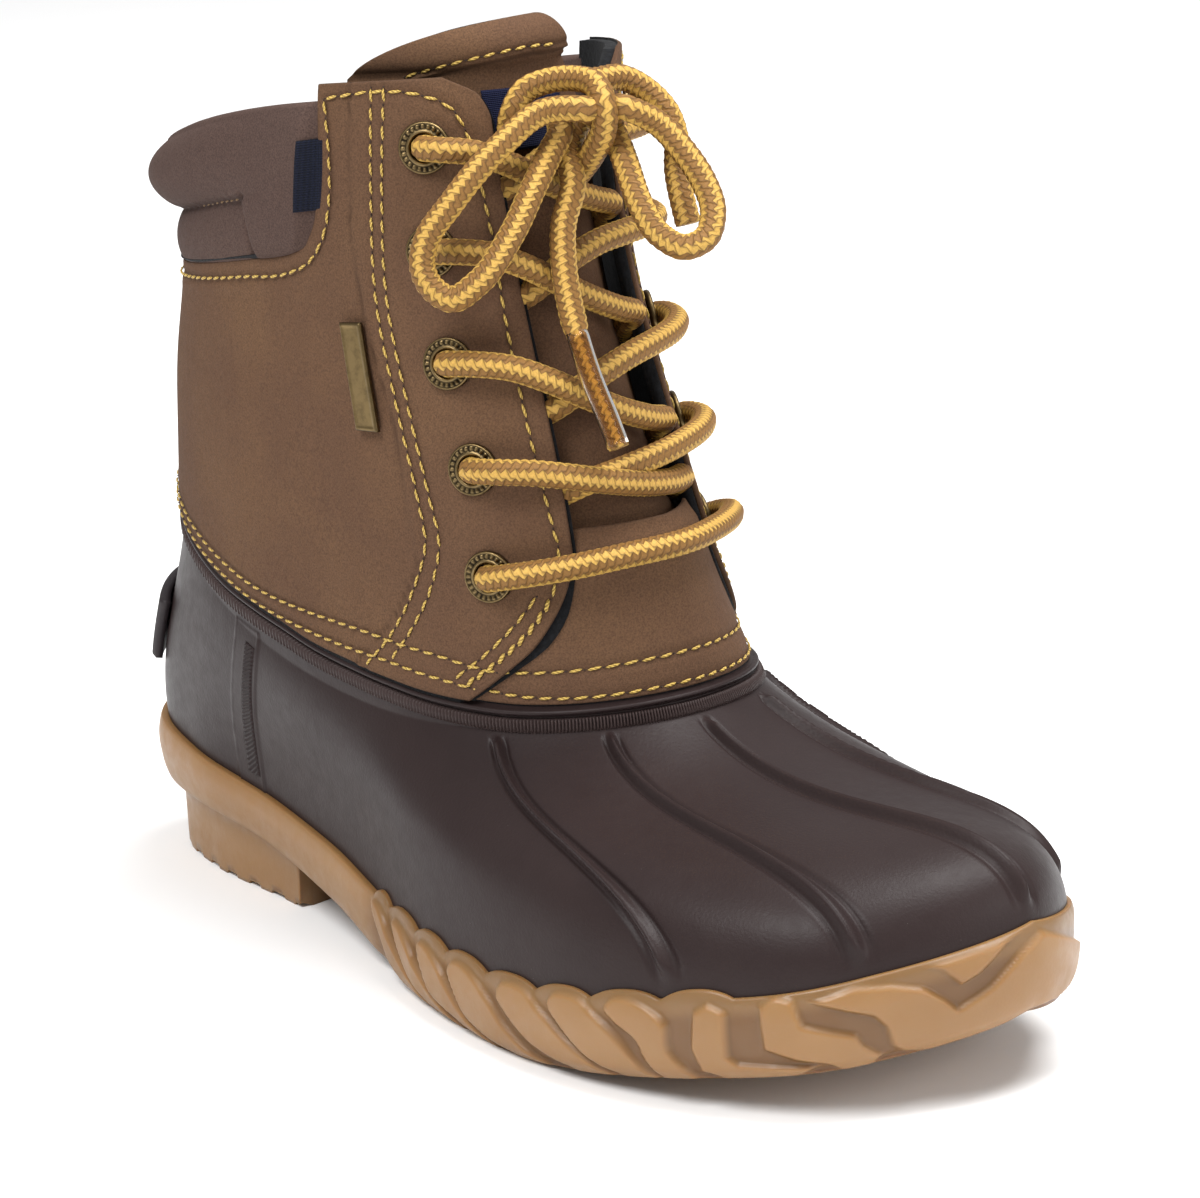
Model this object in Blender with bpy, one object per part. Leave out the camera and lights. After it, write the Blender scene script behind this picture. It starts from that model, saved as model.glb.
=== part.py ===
"""Duck boot, right foot: rubber shell on a gum outsole, leather upper, laces.

Axes: +X to the toe, +Y to the wearer's left (the inner side of this right
boot), +Z up. The origin is the bottom centre of the sole. Metres.

Places on the boot are given by two shares. u runs round the boot: 0 at the
toe, 0.5 at the heel by way of the outer side, and back to 1 by way of the
inner side. v runs up the leather from the rim of the rubber (0) to the top
line (1). t runs up the rubber from the sole (0) to its rim (1).
"""
import math

import bmesh
import bpy
import numpy as np
from mathutils import Matrix

# Named sizes.
LENGTH = 0.280
BALL_WIDTH = 0.103
SOLE_HEIGHT = 0.036
SHAFT_HEIGHT = 0.164
LEATHER = 0.0022
LAYER = 0.0014
RUBBER = 0.0030
FLANGE = 0.0015
FLANGE_SPACE = 0.0010
GAP = 0.0003
SOLE_FLOOR = 0.0080
BAND_WALL = 0.0062
SHELL_SET_IN = 0.0016
INSOLE_THICK = 0.0045
TONGUE_THICK = 0.0042
TONGUE_GAP = 0.0032
LACE = 0.0056
EYELET_RADIUS = 0.0057
EYELET_HOLE = 0.0030
EYELET_WALL = 0.0006
EYELET_FLANGE = 0.0011
WEBBING = 0.0010
PLATE_THICK = 0.0012
BADGE_THICK = 0.0026
LUG_DEPTH = 0.0020
GROOVE_DEPTH = 0.0010
RIDGE_HEIGHT = 0.0012
RIDGE_HALF = 0.0017
BEAD = 0.0009

# Sole outline. Station from the heel as a share of LENGTH; outer and inner
# half widths as shares of BALL_WIDTH.
SOLE = (
    # station, outer, inner
    (0.032, 0.199, 0.209),
    (0.121, 0.286, 0.316),
    (0.250, 0.311, 0.320),
    (0.411, 0.383, 0.316),
    (0.554, 0.481, 0.374),
    (0.668, 0.515, 0.456),
    (0.775, 0.495, 0.481),
    (0.875, 0.408, 0.461),
    (0.950, 0.252, 0.359),
)
TOE_SIDE_SHIFT = 0.126
HEEL_BLOCK = 0.262

# Height of the sole's band, as shares of SOLE_HEIGHT, by share round a half.
BAND = (
    # u, bottom, top
    (0.00, 0.500, 1.056),
    (0.10, 0.236, 0.764),
    (0.21, 0.000, 0.500),
    (0.27, 0.000, 0.514),
    (0.33, 0.222, 0.644),
    (0.42, 0.439, 0.833),
    (0.50, 0.439, 1.000),
)

# Side of the sole: share of the band's height and set-in from the outline,
# as a share of BAND_WALL.
SOLE_SIDE = (
    (1.00, 0.08),
    (0.93, -0.06),
    (0.70, -0.16),
    (0.42, -0.08),
    (0.14, 0.14),
)

# Rings of the upper from the rim to the top line. Places along the boot are
# shares of LENGTH from the middle, widths of BALL_WIDTH, heights above the
# sole of SHAFT_HEIGHT.
RINGS = (
    # v, front, front_shift, back, outer, inner, widest, z_front, z_side, z_back,
    # inner_side_power, inner_front_power
    (0.00, 0.164, 0.019, -0.464, 0.374, 0.408, -0.071, 0.183, 0.171, 0.305, 1.01, 0.60),
    (0.22, 0.150, 0.010, -0.450, 0.388, 0.379, -0.089, 0.372, 0.354, 0.427, 1.22, 1.09),
    (0.45, 0.118, 0.000, -0.436, 0.388, 0.369, -0.107, 0.561, 0.537, 0.549, 1.42, 1.20),
    (0.68, 0.071, 0.000, -0.418, 0.379, 0.369, -0.118, 0.756, 0.707, 0.671, 1.43, 1.24),
    (1.00, 0.032, 0.000, -0.414, 0.369, 0.359, -0.125, 1.000, 0.951, 0.829, 1.05, 0.96),
)
RING_POWER = 0.92
SIDE_SHARE = 0.36

# Where a place on the sole's outline meets the rim of the rubber.
RIM_PLACES = (
    # sole u, rim u
    (0.00, 0.000),
    (0.10, 0.060),
    (0.21, 0.140),
    (0.33, 0.250),
    (0.42, 0.365),
    (0.50, 0.500),
)

# Curve of the rubber from sole to rim: handle lengths as shares of
# BALL_WIDTH, lean inwards at the sole and drop below level at the rim.
SHELL_CURVE = (
    # u, low_handle, lean_deg, high_handle, drop_deg
    (0.00, 0.291, 8.0, 0.437, 34.0),
    (0.10, 0.252, 4.0, 0.291, 40.0),
    (0.21, 0.252, 0.0, 0.214, 58.0),
    (0.33, 0.194, -2.0, 0.136, 72.0),
    (0.42, 0.175, -5.0, 0.136, 80.0),
    (0.50, 0.175, -6.0, 0.136, 84.0),
)

# Raised ridges on the rubber: share round a half at the sole, middle and rim.
RIDGES = (
    # sole, middle, rim
    (0.059, 0.061, 0.083),
    (0.122, 0.134, 0.170),
)

# Front edge of the quarter and eyestay, as u by v.
QUARTER_FRONT = (
    (0.035, 0.128),
    (0.092, 0.101),
    (0.141, 0.080),
    (0.238, 0.059),
    (0.280, 0.0555),
    (0.940, 0.0525),
    (0.985, 0.058),
    (1.020, 0.080),
)
# Collar seam: u by v down the back of the eyestay, then v by u to the heel.
EYESTAY_BACK = ((0.755, 0.203), (0.800, 0.190), (1.020, 0.171))
COLLAR_SEAM = ((0.203, 0.755), (0.226, 0.742), (0.277, 0.730), (0.417, 0.697), (0.500, 0.693))
LEATHER_START = 0.035
FLANGE_TOP = 0.120
VAMP_TOP = 0.305
EYESTAY_TOP = 1.020
COLLAR_TOP = 0.980

# Edges of the tongue: v, u on the outer side, u on the inner side.
TONGUE_EDGES = (
    (0.20, 0.112, 0.112),
    (0.80, 0.112, 0.105),
    (1.00, 0.158, 0.045),
    (1.20, 0.165, 0.016),
)

EYELETS = (
    # u, v
    (0.101, 0.240),
    (0.100, 0.405),
    (0.103, 0.565),
    (0.101, 0.738),
    (0.096, 0.906),
)

# Strands of the lace across the throat, from an eyelet to the far flap below
# it: u, share of the drop between two eyelets, lift. The strand from an inner
# eyelet has its u taken from the inner side.
STRAND_OUTER = (
    # u, drop, lift_mm
    (0.104, 0.00, 6.2),
    (0.086, 0.02, 6.8),
    (0.066, 0.10, 6.6),
    (0.050, 0.24, 5.2),
    (0.034, 0.40, 3.0),
    (0.010, 0.58, -0.4),
    (-0.020, 0.73, -1.3),
    (-0.046, 0.84, -0.6),
)
STRAND_INNER = (
    (0.104, 0.00, 6.2),
    (0.086, 0.04, 6.8),
    (0.066, 0.08, 6.6),
    (0.050, 0.10, 5.2),
    (0.034, 0.11, 3.0),
    (0.010, 0.13, -0.4),
    (-0.020, 0.25, -1.3),
    (-0.046, 0.45, -0.6),
)
BAR = (
    # u, v, lift_mm
    (0.104, 0.240, 6.2),
    (0.085, 0.246, 6.8),
    (0.060, 0.252, 6.4),
    (0.030, 0.258, 4.6),
    (0.000, 0.260, 4.2),
)

# Free runs of the lace: u, v and lift off the smooth face of the upper.
CORDS = {
    "lace_knot": (
        # u, v, lift_mm
        (0.0394, 0.951, 2.6),
        (0.0312, 0.982, 3.4),
        (0.0178, 0.994, 6.2),
        (0.0088, 0.990, 10.9),
        (0.0061, 0.976, 15.7),
        (0.0081, 0.937, 19.3),
        (0.0079, 0.894, 17.5),
        (0.0076, 0.862, 12.4),
        (0.0068, 0.824, 2.8),
    ),
    "lace_loop_left": (
        (0.0158, 0.935, 18.0),
        (0.0316, 0.943, 13.4),
        (0.0540, 0.898, 13.4),
        (0.0790, 0.814, 15.6),
        (0.0930, 0.752, 16.2),
        (0.0955, 0.719, 16.2),
        (0.0930, 0.684, 16.0),
        (0.0850, 0.659, 15.4),
        (0.0730, 0.677, 15.0),
        (0.0560, 0.743, 14.2),
        (0.0410, 0.822, 12.4),
        (0.0265, 0.880, 9.6),
        (0.0205, 0.900, 8.8),
    ),
    "lace_loop_right": (
        (0.0003, 0.929, 19.3),
        (-0.0084, 0.889, 22.9),
        (-0.0095, 0.835, 26.4),
        (-0.0080, 0.769, 29.7),
        (-0.0051, 0.710, 31.3),
        (-0.0026, 0.667, 30.1),
        (-0.0001, 0.661, 27.5),
        (0.0017, 0.690, 24.1),
        (0.0024, 0.755, 20.8),
        (0.0007, 0.824, 17.5),
    ),
    "lace_end_front": (
        (0.0192, 0.812, 9.5),
        (0.0285, 0.747, 9.4),
        (0.0320, 0.683, 9.0),
        (0.0330, 0.613, 8.6),
        (0.0325, 0.549, 9.4),
        (0.0315, 0.509, 9.8),
        (0.0295, 0.462, 10.4),
        (0.0280, 0.415, 11.2),
    ),
    "lace_end_back": (
        (-0.0001, 0.981, 11.6),
        (-0.0176, 0.980, 13.0),
        (-0.0244, 0.956, 15.7),
        (-0.0256, 0.913, 19.3),
        (-0.0230, 0.861, 20.7),
        (-0.0188, 0.804, 20.2),
        (-0.0145, 0.749, 20.8),
        (-0.0131, 0.706, 21.0),
    ),
}

COLOURS = {
    "gum": (0.52, 0.29, 0.13),
    "rubber": (0.055, 0.040, 0.038),
    "leather": (0.185, 0.105, 0.068),
    "collar": (0.115, 0.080, 0.068),
    "lining": (0.012, 0.013, 0.015),
    "navy": (0.010, 0.014, 0.045),
    "brass": (0.30, 0.22, 0.12),
    "cord": (0.66, 0.36, 0.08),
}


def between(knots, values, place):
    """Smooth curve through the knots that never overshoots them."""
    x = np.asarray(knots, float)
    y = np.asarray(values, float)
    place = np.clip(np.asarray(place, float), x[0], x[-1])
    step = np.diff(x)
    slope = np.diff(y) / step
    tangent = np.concatenate([slope[:1], np.zeros(len(x) - 2), slope[-1:]])
    for k in range(1, len(x) - 1):
        low, high = slope[k - 1], slope[k]
        if low * high > 0:
            first = 2 * step[k] + step[k - 1]
            second = step[k] + 2 * step[k - 1]
            tangent[k] = (first + second) / (first / low + second / high)
    k = np.clip(np.searchsorted(x, place, side="right") - 1, 0, len(x) - 2)
    s = (place - x[k]) / step[k]
    start = (1 + 2 * s) * (1 - s) ** 2 * y[k] + s * (1 - s) ** 2 * step[k] * tangent[k]
    end = s * s * (3 - 2 * s) * y[k + 1] + s * s * (s - 1) * step[k] * tangent[k + 1]
    return start + end


def column(table, k):
    return [row[k] for row in table]


def half(u):
    """Share round the half that u is on: 0 at the toe, 0.5 at the heel."""
    u = np.asarray(u, float) % 1.0
    return np.minimum(u, 1 - u)


def smooth_loop(points, steps=30):
    """Closed centripetal spline through the points."""
    points = np.asarray(points, float)
    count = len(points)
    out = []
    for i in range(count):
        p0, p1, p2, p3 = (points[(i + k) % count] for k in (-1, 0, 1, 2))
        t1 = np.linalg.norm(p1 - p0) ** 0.5
        t2 = t1 + np.linalg.norm(p2 - p1) ** 0.5
        t3 = t2 + np.linalg.norm(p3 - p2) ** 0.5
        t = np.linspace(t1, t2, steps, endpoint=False)[:, None]
        a1 = (t1 - t) / t1 * p0 + t / t1 * p1
        a2 = (t2 - t) / (t2 - t1) * p1 + (t - t1) / (t2 - t1) * p2
        a3 = (t3 - t) / (t3 - t2) * p2 + (t - t2) / (t3 - t2) * p3
        b1 = (t2 - t) / t2 * a1 + t / t2 * a2
        b2 = (t3 - t) / (t3 - t1) * a2 + (t - t1) / (t3 - t1) * a3
        out.append((t2 - t) / (t2 - t1) * b1 + (t - t1) / (t2 - t1) * b2)
    out = np.vstack(out)
    return np.vstack([out, out[:1]])


def shares_by_halves(loop, middle):
    """Share round the loop of each point, 0.5 at the point numbered middle."""
    steps = np.linalg.norm(np.diff(loop, axis=0), axis=1)
    run = np.concatenate([[0.0], np.cumsum(steps)])
    first = run[:middle + 1] / run[middle] * 0.5
    second = 0.5 + (run[middle + 1:] - run[middle]) / (run[-1] - run[middle]) * 0.5
    return np.concatenate([first, second])


def sole_outline():
    outer = [((s - 0.5) * LENGTH, -w * BALL_WIDTH) for s, w, _ in reversed(SOLE)]
    inner = [((s - 0.5) * LENGTH, w * BALL_WIDTH) for s, _, w in SOLE]
    toe = [(0.5 * LENGTH, TOE_SIDE_SHIFT * BALL_WIDTH)]
    loop = smooth_loop(toe + outer + [(-0.5 * LENGTH, 0.0)] + inner)
    return loop, shares_by_halves(loop, (len(SOLE) + 1) * 30)


OUTLINE, OUTLINE_SHARES = sole_outline()


def sole(u):
    u = np.asarray(u, float) % 1.0
    x = np.interp(u, OUTLINE_SHARES, OUTLINE[:, 0])
    y = np.interp(u, OUTLINE_SHARES, OUTLINE[:, 1])
    return np.stack([x, y], -1)


def sole_out(u):
    """Level direction out of the sole's outline."""
    run = sole(np.asarray(u) - 0.004) - sole(np.asarray(u) + 0.004)
    out = np.stack([-run[..., 1], run[..., 0]], -1)
    return -out / np.linalg.norm(out, axis=-1)[..., None]


def band(u, which):
    """Height of the band's bottom (1) or top (2)."""
    return between(column(BAND, 0), column(BAND, which), half(u)) * SOLE_HEIGHT


def ring(row, u):
    """Points of one ring of the upper at the shares u."""
    _, front, shift, back, outer, inner, widest, z_front, z_side, z_back, in_side, in_front = row
    angle = np.linspace(0, 2 * math.pi, 721)
    c, s = np.cos(angle), np.sin(angle)
    reach = np.where(c > 0, front - widest, widest - back)
    inner_front = (s < 0) & (c > 0)
    x_power = np.where(inner_front, in_front, RING_POWER)
    y_power = np.where(inner_front, in_side, RING_POWER)
    x = (widest + np.sign(c) * reach * np.abs(c) ** x_power) * LENGTH
    side = np.where(s > 0, -outer, inner) * np.abs(s) ** y_power
    y = (side + shift * np.clip(c, 0, 1) ** 2) * BALL_WIDTH
    share = shares_by_halves(np.stack([x, y], 1), 360)
    u = np.asarray(u, float) % 1.0
    x = np.interp(u, share, x)
    y = np.interp(u, share, y)
    k = (front * LENGTH - x) / ((front - back) * LENGTH)
    sag = 4 * (z_side - (z_front + z_back) / 2)
    z = SOLE_HEIGHT + (z_front + (z_back - z_front) * k + sag * k * (1 - k)) * SHAFT_HEIGHT
    return np.stack([x, y, z], -1)


def leather(u, v):
    """Smooth face of the upper at u, v, by a cubic through the rings."""
    u, v = np.broadcast_arrays(np.asarray(u, float), np.asarray(v, float))
    knots = np.array(column(RINGS, 0))
    rings = np.stack([ring(row, u) for row in RINGS])
    step = np.diff(knots)
    count = len(knots)
    matrix = np.eye(count)
    right = np.zeros_like(rings)
    for k in range(1, count - 1):
        matrix[k, k - 1:k + 2] = step[k - 1], 2 * (step[k - 1] + step[k]), step[k]
        rise = (rings[k + 1] - rings[k]) / step[k] - (rings[k] - rings[k - 1]) / step[k - 1]
        right[k] = 6 * rise
    bend = np.linalg.solve(matrix, right.reshape(count, -1)).reshape(rings.shape)
    inside = np.clip(v, 0, 1)
    k = np.clip(np.searchsorted(knots, inside, side="right") - 1, 0, count - 2)
    here = np.ogrid[tuple(slice(n) for n in u.shape)]
    low, high = rings[(k, *here)], rings[(k + 1, *here)]
    low_bend, high_bend = bend[(k, *here)], bend[(k + 1, *here)]
    a = ((knots[k + 1] - inside) / step[k])[..., None]
    b = 1 - a
    h = step[k][..., None]
    point = a * low + b * high + ((a ** 3 - a) * low_bend + (b ** 3 - b) * high_bend) * h * h / 6
    slope = (high - low) / h + ((3 * b * b - 1) * high_bend - (3 * a * a - 1) * low_bend) * h / 6
    return point + slope * (v - inside)[..., None]


def rim(u):
    """Share round the rim that belongs to share u of the sole."""
    u = np.asarray(u, float) % 1.0
    share = between(column(RIM_PLACES, 0), column(RIM_PLACES, 1), half(u))
    return np.where(u <= 0.5, share, 1 - share)


def rubber(u, t):
    """Smooth face of the rubber shell at u, t."""
    u, t = np.broadcast_arrays(np.asarray(u, float), np.asarray(t, float))
    out = sole_out(u)
    foot = np.concatenate([sole(u) - out * SHELL_SET_IN, (band(u, 2) + GAP)[..., None]], -1)
    head = leather(rim(u), np.zeros_like(u))
    run = leather(rim(u + 0.004), 0.0) - leather(rim(u - 0.004), 0.0)
    away = np.stack([run[..., 1], -run[..., 0]], -1)
    away = away / np.linalg.norm(away, axis=-1)[..., None]
    away = away * np.sign(np.sum(away * out, -1))[..., None]
    curve = [between(column(SHELL_CURVE, 0), column(SHELL_CURVE, k), half(u)) for k in (1, 2, 3, 4)]
    low, lean, high, drop = curve
    low, high = low * BALL_WIDTH, high * BALL_WIDTH
    lean, drop = np.radians(lean), np.radians(drop)
    lower = np.concatenate([-out * (low * np.sin(lean))[..., None], (low * np.cos(lean))[..., None]], -1)
    upper = np.concatenate([away * (high * np.cos(drop))[..., None], (-high * np.sin(drop))[..., None]], -1)
    t = t[..., None]
    first = (1 - t) ** 3 * foot + 3 * t * (1 - t) ** 2 * (foot + lower)
    return first + 3 * t * t * (1 - t) * (head + upper) + t ** 3 * head


def lifted(face, u, v, distance):
    """Points of a face moved out of it by the distance."""
    u, v, distance = np.broadcast_arrays(u, v, distance)
    step = 0.004
    along = face(u + step, v) - face(u - step, v)
    up = face(u, v + step) - face(u, v - step)
    out = np.cross(up, along)
    out = out / np.linalg.norm(out, axis=-1)[..., None]
    return face(u, v) + out * distance[..., None]


def mesh_object(name, points, faces, material):
    used = sorted({i for face in faces for i in face})
    place = {old: new for new, old in enumerate(used)}
    mesh = bpy.data.meshes.new(name)
    mesh.from_pydata([tuple(points[i]) for i in used], [], [[place[i] for i in f] for f in faces])
    mesh.validate()
    mesh.materials.append(material)
    thing = bpy.data.objects.new(name, mesh)
    BOOT.objects.link(thing)
    return thing


def sheet(name, outer, inner, material, keep=None, closed=False):
    """Solid sheet between two grids of points, rows going up."""
    rows, columns = outer.shape[:2]
    spans = columns if closed else columns - 1
    kept = np.ones((rows - 1, spans), bool) if keep is None else keep

    def at(side, r, c):
        return (side * rows + r) * columns + c % columns

    def has(r, c):
        if closed:
            c = c % spans
        return 0 <= r < rows - 1 and 0 <= c < spans and kept[r, c]

    faces = []
    for r in range(rows - 1):
        for c in range(spans):
            if not has(r, c):
                continue
            corners = ((r, c), (r + 1, c), (r + 1, c + 1), (r, c + 1))
            faces.append([at(0, *p) for p in corners])
            faces.append([at(1, *p) for p in reversed(corners)])
            beyond = ((r, c - 1), (r + 1, c), (r, c + 1), (r - 1, c))
            for k in range(4):
                if not has(*beyond[k]):
                    p, q = corners[k], corners[(k + 1) % 4]
                    faces.append([at(0, *q), at(0, *p), at(1, *p), at(1, *q)])
    points = np.concatenate([outer.reshape(-1, 3), inner.reshape(-1, 3)])
    return mesh_object(name, points, faces, material)


def slab(name, ring_rows, top_rows, bottom_rows, material):
    """Solid with a closed side and a cap of cross rows at both ends.

    ring_rows go from the top cap round the side to the bottom cap. The cap
    rows hold the points between the two halves of the ring, from the toe.
    """
    rows, count = ring_rows.shape[:2]
    middle = count // 2
    points = [ring_rows.reshape(-1, 3)]
    faces = []
    for r in range(rows - 1):
        for c in range(count):
            d = (c + 1) % count
            faces.append([r * count + c, r * count + d, (r + 1) * count + d, (r + 1) * count + c])
    start = rows * count
    for row, inside, turned in ((0, top_rows, False), (rows - 1, bottom_rows, True)):
        across = inside.shape[1]

        def at(i, j):
            if i in (0, middle) or j == 0:
                return row * count + i
            if j == across + 1:
                return row * count + (count - i) % count
            return start + (i - 1) * across + j - 1

        for i in range(middle):
            for j in range(across + 1):
                loop = [at(i, j), at(i, j + 1), at(i + 1, j + 1), at(i + 1, j)]
                loop = [p for k, p in enumerate(loop) if p != loop[k - 1]]
                if len(loop) > 2:
                    faces.append(loop[::-1] if turned else loop)
        points.append(inside.reshape(-1, 3))
        start += inside.shape[0] * across
    return mesh_object(name, np.concatenate(points), faces, material)


def cross_rows(edge, across):
    """Points between the two halves of a ring, level with its own points."""
    middle = len(edge) // 2
    share = (np.arange(across) + 1) / (across + 1)
    outer = edge[1:middle]
    inner = edge[:middle:-1]
    return outer[:, None] + (inner - outer)[:, None] * share[None, :, None]


def round_shares(half_shares):
    """Full round of shares from the shares of one half."""
    half_shares = np.asarray(half_shares)
    return np.concatenate([half_shares, 1 - half_shares[-2:0:-1]])


def breast_share():
    """Share round a half where the heel block ends."""
    shares = np.linspace(0.3, 0.5, 400)
    edge = (HEEL_BLOCK - 0.5) * LENGTH
    return float(shares[np.argmax(sole(shares)[:, 0] < edge)])


def side_groove(u, s):
    """Depth share of the slanting grooves in the side of the band."""
    h = half(u)
    slant = np.where(h > 0.13, 0.016, 0.004)
    phase = (h + slant * s) / 0.0185 % 1.0
    inside = (h > 0.035) & (h < 0.335)
    return np.where(inside & (phase < 0.24), 1.0, 0.0)


def build_outsole(material):
    breast = breast_share()
    halves = np.concatenate([
        np.linspace(0.0, 0.335, 40),
        np.linspace(0.335, breast, 6)[1:],
        np.linspace(breast + 0.002, 0.5, 10),
    ])
    u = round_shares(halves)
    out = sole_out(u)
    low, top = band(u, 1), band(u, 2)
    floor = low + SOLE_FLOOR

    def edge(set_in, z):
        flat = sole(u) - out * np.broadcast_to(set_in, u.shape)[:, None]
        return np.concatenate([flat, z[:, None]], -1)

    rows = [edge(BAND_WALL, floor), edge(BAND_WALL, top)]
    for share, set_in in SOLE_SIDE:
        cut = side_groove(u, share) * GROOVE_DEPTH * (0.1 < share < 1.0)
        rows.append(edge(set_in * BAND_WALL + cut, low + (top - low) * share))
    block = half(u) > breast + 0.001
    lugs = np.arange(len(halves)) % 4 == 3
    lugs = np.concatenate([lugs, lugs[-2:0:-1]])
    cut = np.where(lugs & (half(u) < 0.31) & (half(u) > 0.02), LUG_DEPTH, 0.0)
    foot = np.where(block, 0.0, low + cut)
    rows.append(edge(0.50 * BAND_WALL, low))
    rows.append(edge(0.66 * BAND_WALL, low))
    rows.append(edge(np.where(block, 0.80, 0.76) * BAND_WALL, foot))
    rows = np.stack(rows)
    return slab("outsole", rows, cross_rows(rows[0], 3), cross_rows(rows[-1], 3), material)


def build_insole(material):
    u = round_shares(np.linspace(0.0, 0.5, 25))
    out = sole_out(u)
    flat = sole(u) - out * (BAND_WALL + 2 * GAP)
    floor = band(u, 1) + SOLE_FLOOR + GAP
    top = np.concatenate([flat, (floor + INSOLE_THICK)[:, None]], -1)
    bottom = np.concatenate([flat, floor[:, None]], -1)
    rows = np.stack([top, bottom])
    return slab("insole", rows, cross_rows(top, 3), cross_rows(bottom, 3), material)


def ridge_share(row, t):
    return between((0.0, 0.5, 1.0), RIDGES[row], t)


def shell_columns(t):
    """Shares of one half of the shell at height t, with a rise at each."""
    wide = RIDGE_HALF / (2.2 * LENGTH)
    inner_ridge, outer_ridge = ridge_share(0, t), ridge_share(1, t)
    shares = [0.0, wide, inner_ridge * 0.36, inner_ridge * 0.68]
    rises = [1.0, 0.0, 0.0, 0.0]
    for ridge in (inner_ridge, outer_ridge):
        if ridge == outer_ridge:
            shares += list(np.linspace(inner_ridge, ridge, 4)[1:3])
            rises += [0.0, 0.0]
        shares += [ridge - wide, ridge, ridge + wide]
        rises += [0.0, 1.0, 0.0]
    shares += list(np.linspace(outer_ridge + wide, 0.5, 14)[1:])
    rises += [0.0] * 13
    return np.array(shares), np.array(rises)


def build_shell(material):
    heights = (0.0, 0.08, 0.22, 0.42, 0.64, 0.83, 0.925, 0.95, 0.985, 1.0)
    outer, inner = [], []
    for t in heights:
        shares, rises = shell_columns(t)
        u = round_shares(shares)
        rise = np.concatenate([rises, rises[-2:0:-1]])
        fade = min(1.0, t / 0.08, max(0.0, (0.95 - t) / 0.1))
        lift = rise * fade * RIDGE_HEIGHT + (BEAD if 0.94 < t < 0.99 else 0.0)
        outer.append(lifted(rubber, u, t, lift))
        inner.append(lifted(rubber, u, t, -RUBBER))
    for v in (0.006, FLANGE_TOP):
        u = rim(round_shares(shell_columns(1.0)[0]))
        outer.append(lifted(leather, u, v, -(LEATHER + FLANGE_SPACE)))
        inner.append(lifted(leather, u, v, -(LEATHER + FLANGE_SPACE + FLANGE)))
    outer, inner = np.stack(outer), np.stack(inner)
    inner[0, :, 2] = outer[0, :, 2]
    return sheet("shell", outer, inner, material, closed=True)


def quarter_front(v):
    return between(column(QUARTER_FRONT, 0), column(QUARTER_FRONT, 1), v)


def eyestay_back(v):
    return between(column(EYESTAY_BACK, 0), column(EYESTAY_BACK, 1), v)


def collar_seam(u):
    """v of the seam between quarter and collar."""
    return between(column(COLLAR_SEAM, 0), column(COLLAR_SEAM, 1), half(u))


def upper_grid():
    """Grid of the upper: u, v, whether each column is quarter, and zones."""
    stay, back, front = 6, 11, 8
    levels = [("low", k / 4) for k in range(5)] + [("middle", k / 4) for k in range(1, 5)]
    levels += [("high", k) for k in (0.22, 0.44, 0.66, 0.86, 1.0)]
    u_rows, v_rows = [], []
    seam_start = COLLAR_SEAM[0][1]
    for zone, k in levels:
        if zone == "low":
            v_here = LEATHER_START + (VAMP_TOP - LEATHER_START) * k
            v_stay = v_here
        elif zone == "middle":
            v_here = None
            v_stay = VAMP_TOP + (seam_start - VAMP_TOP) * k
        else:
            v_here = None
            v_stay = seam_start + (EYESTAY_TOP - seam_start) * k
        edge = float(quarter_front(v_stay))
        turn = float(eyestay_back(v_stay))
        lateral = np.concatenate([np.linspace(edge, turn, stay + 1), np.linspace(turn, 0.5, back + 1)[1:]])
        quarter = np.concatenate([lateral, 1 - lateral[-2::-1]])
        vamp = np.linspace(1 - edge + 0.0008, 1 + edge - 0.0008, front + 1)
        u = np.concatenate([quarter, vamp])
        if v_here is not None:
            v = np.full(len(u), v_here)
        else:
            seam = collar_seam(u)
            grow = k if zone == "middle" else 1.0
            v = np.where(half(u) < turn + 1e-6, v_stay, VAMP_TOP + (seam - VAMP_TOP) * grow)
        u_rows.append(u)
        v_rows.append(v)
    u, v = np.stack(u_rows), np.stack(v_rows)
    quarter_count = 2 * (stay + back) + 1
    keep = np.ones((len(levels) - 1, u.shape[1]), bool)
    keep[4:, quarter_count - 1:] = False
    keep[8:, stay:quarter_count - 1 - stay] = False
    is_quarter = np.arange(u.shape[1]) < quarter_count
    return u, v, is_quarter, keep


def build_upper(material):
    u, v, is_quarter, keep = upper_grid()
    outer = lifted(leather, u, v, np.where(is_quarter, LAYER, 0.0)[None, :])
    inner = lifted(leather, u, v, -LEATHER)
    return sheet("upper", outer, inner, material, keep, closed=True)


def collar_lift(u, s):
    """Outer and inner padding of the collar at share s of its height."""
    back = np.clip((half(u) - 0.17) / 0.25, 0.0, 1.0)
    low_roll = np.sin(np.clip(s / 0.44, 0, 1) * math.pi) ** 0.6 * (0.0010 + 0.0004 * back)
    top_roll = np.sin(np.clip((s - 0.44) / 0.62, 0, 1) * math.pi) ** 0.6 * (0.0024 + 0.0056 * back)
    outer = LAYER * 0.5 + low_roll + top_roll
    inner = -LEATHER - 0.0035 * np.sin(np.clip(s, 0, 1) * math.pi) ** 0.5
    return outer, inner


def build_collar(material):
    outer, inner = [], []
    shares = np.array((0.0, 0.08, 0.22, 0.36, 0.44, 0.52, 0.66, 0.80, 0.92, 1.0))
    spread = np.linspace(0.0, 1.0, 25)
    space = 0.0022
    for s in shares:
        guess = 0.755 + (COLLAR_TOP - 0.755) * s
        start = float(eyestay_back(guess)) + space
        u = start + (1 - 2 * start) * spread
        low = collar_seam(u) + 1.6 * space
        v = low + (COLLAR_TOP - low) * s
        out, in_ = collar_lift(u, s)
        outer.append(lifted(leather, u, v, out))
        inner.append(lifted(leather, u, v, in_))
    return sheet("collar", np.stack(outer), np.stack(inner), material)


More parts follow.
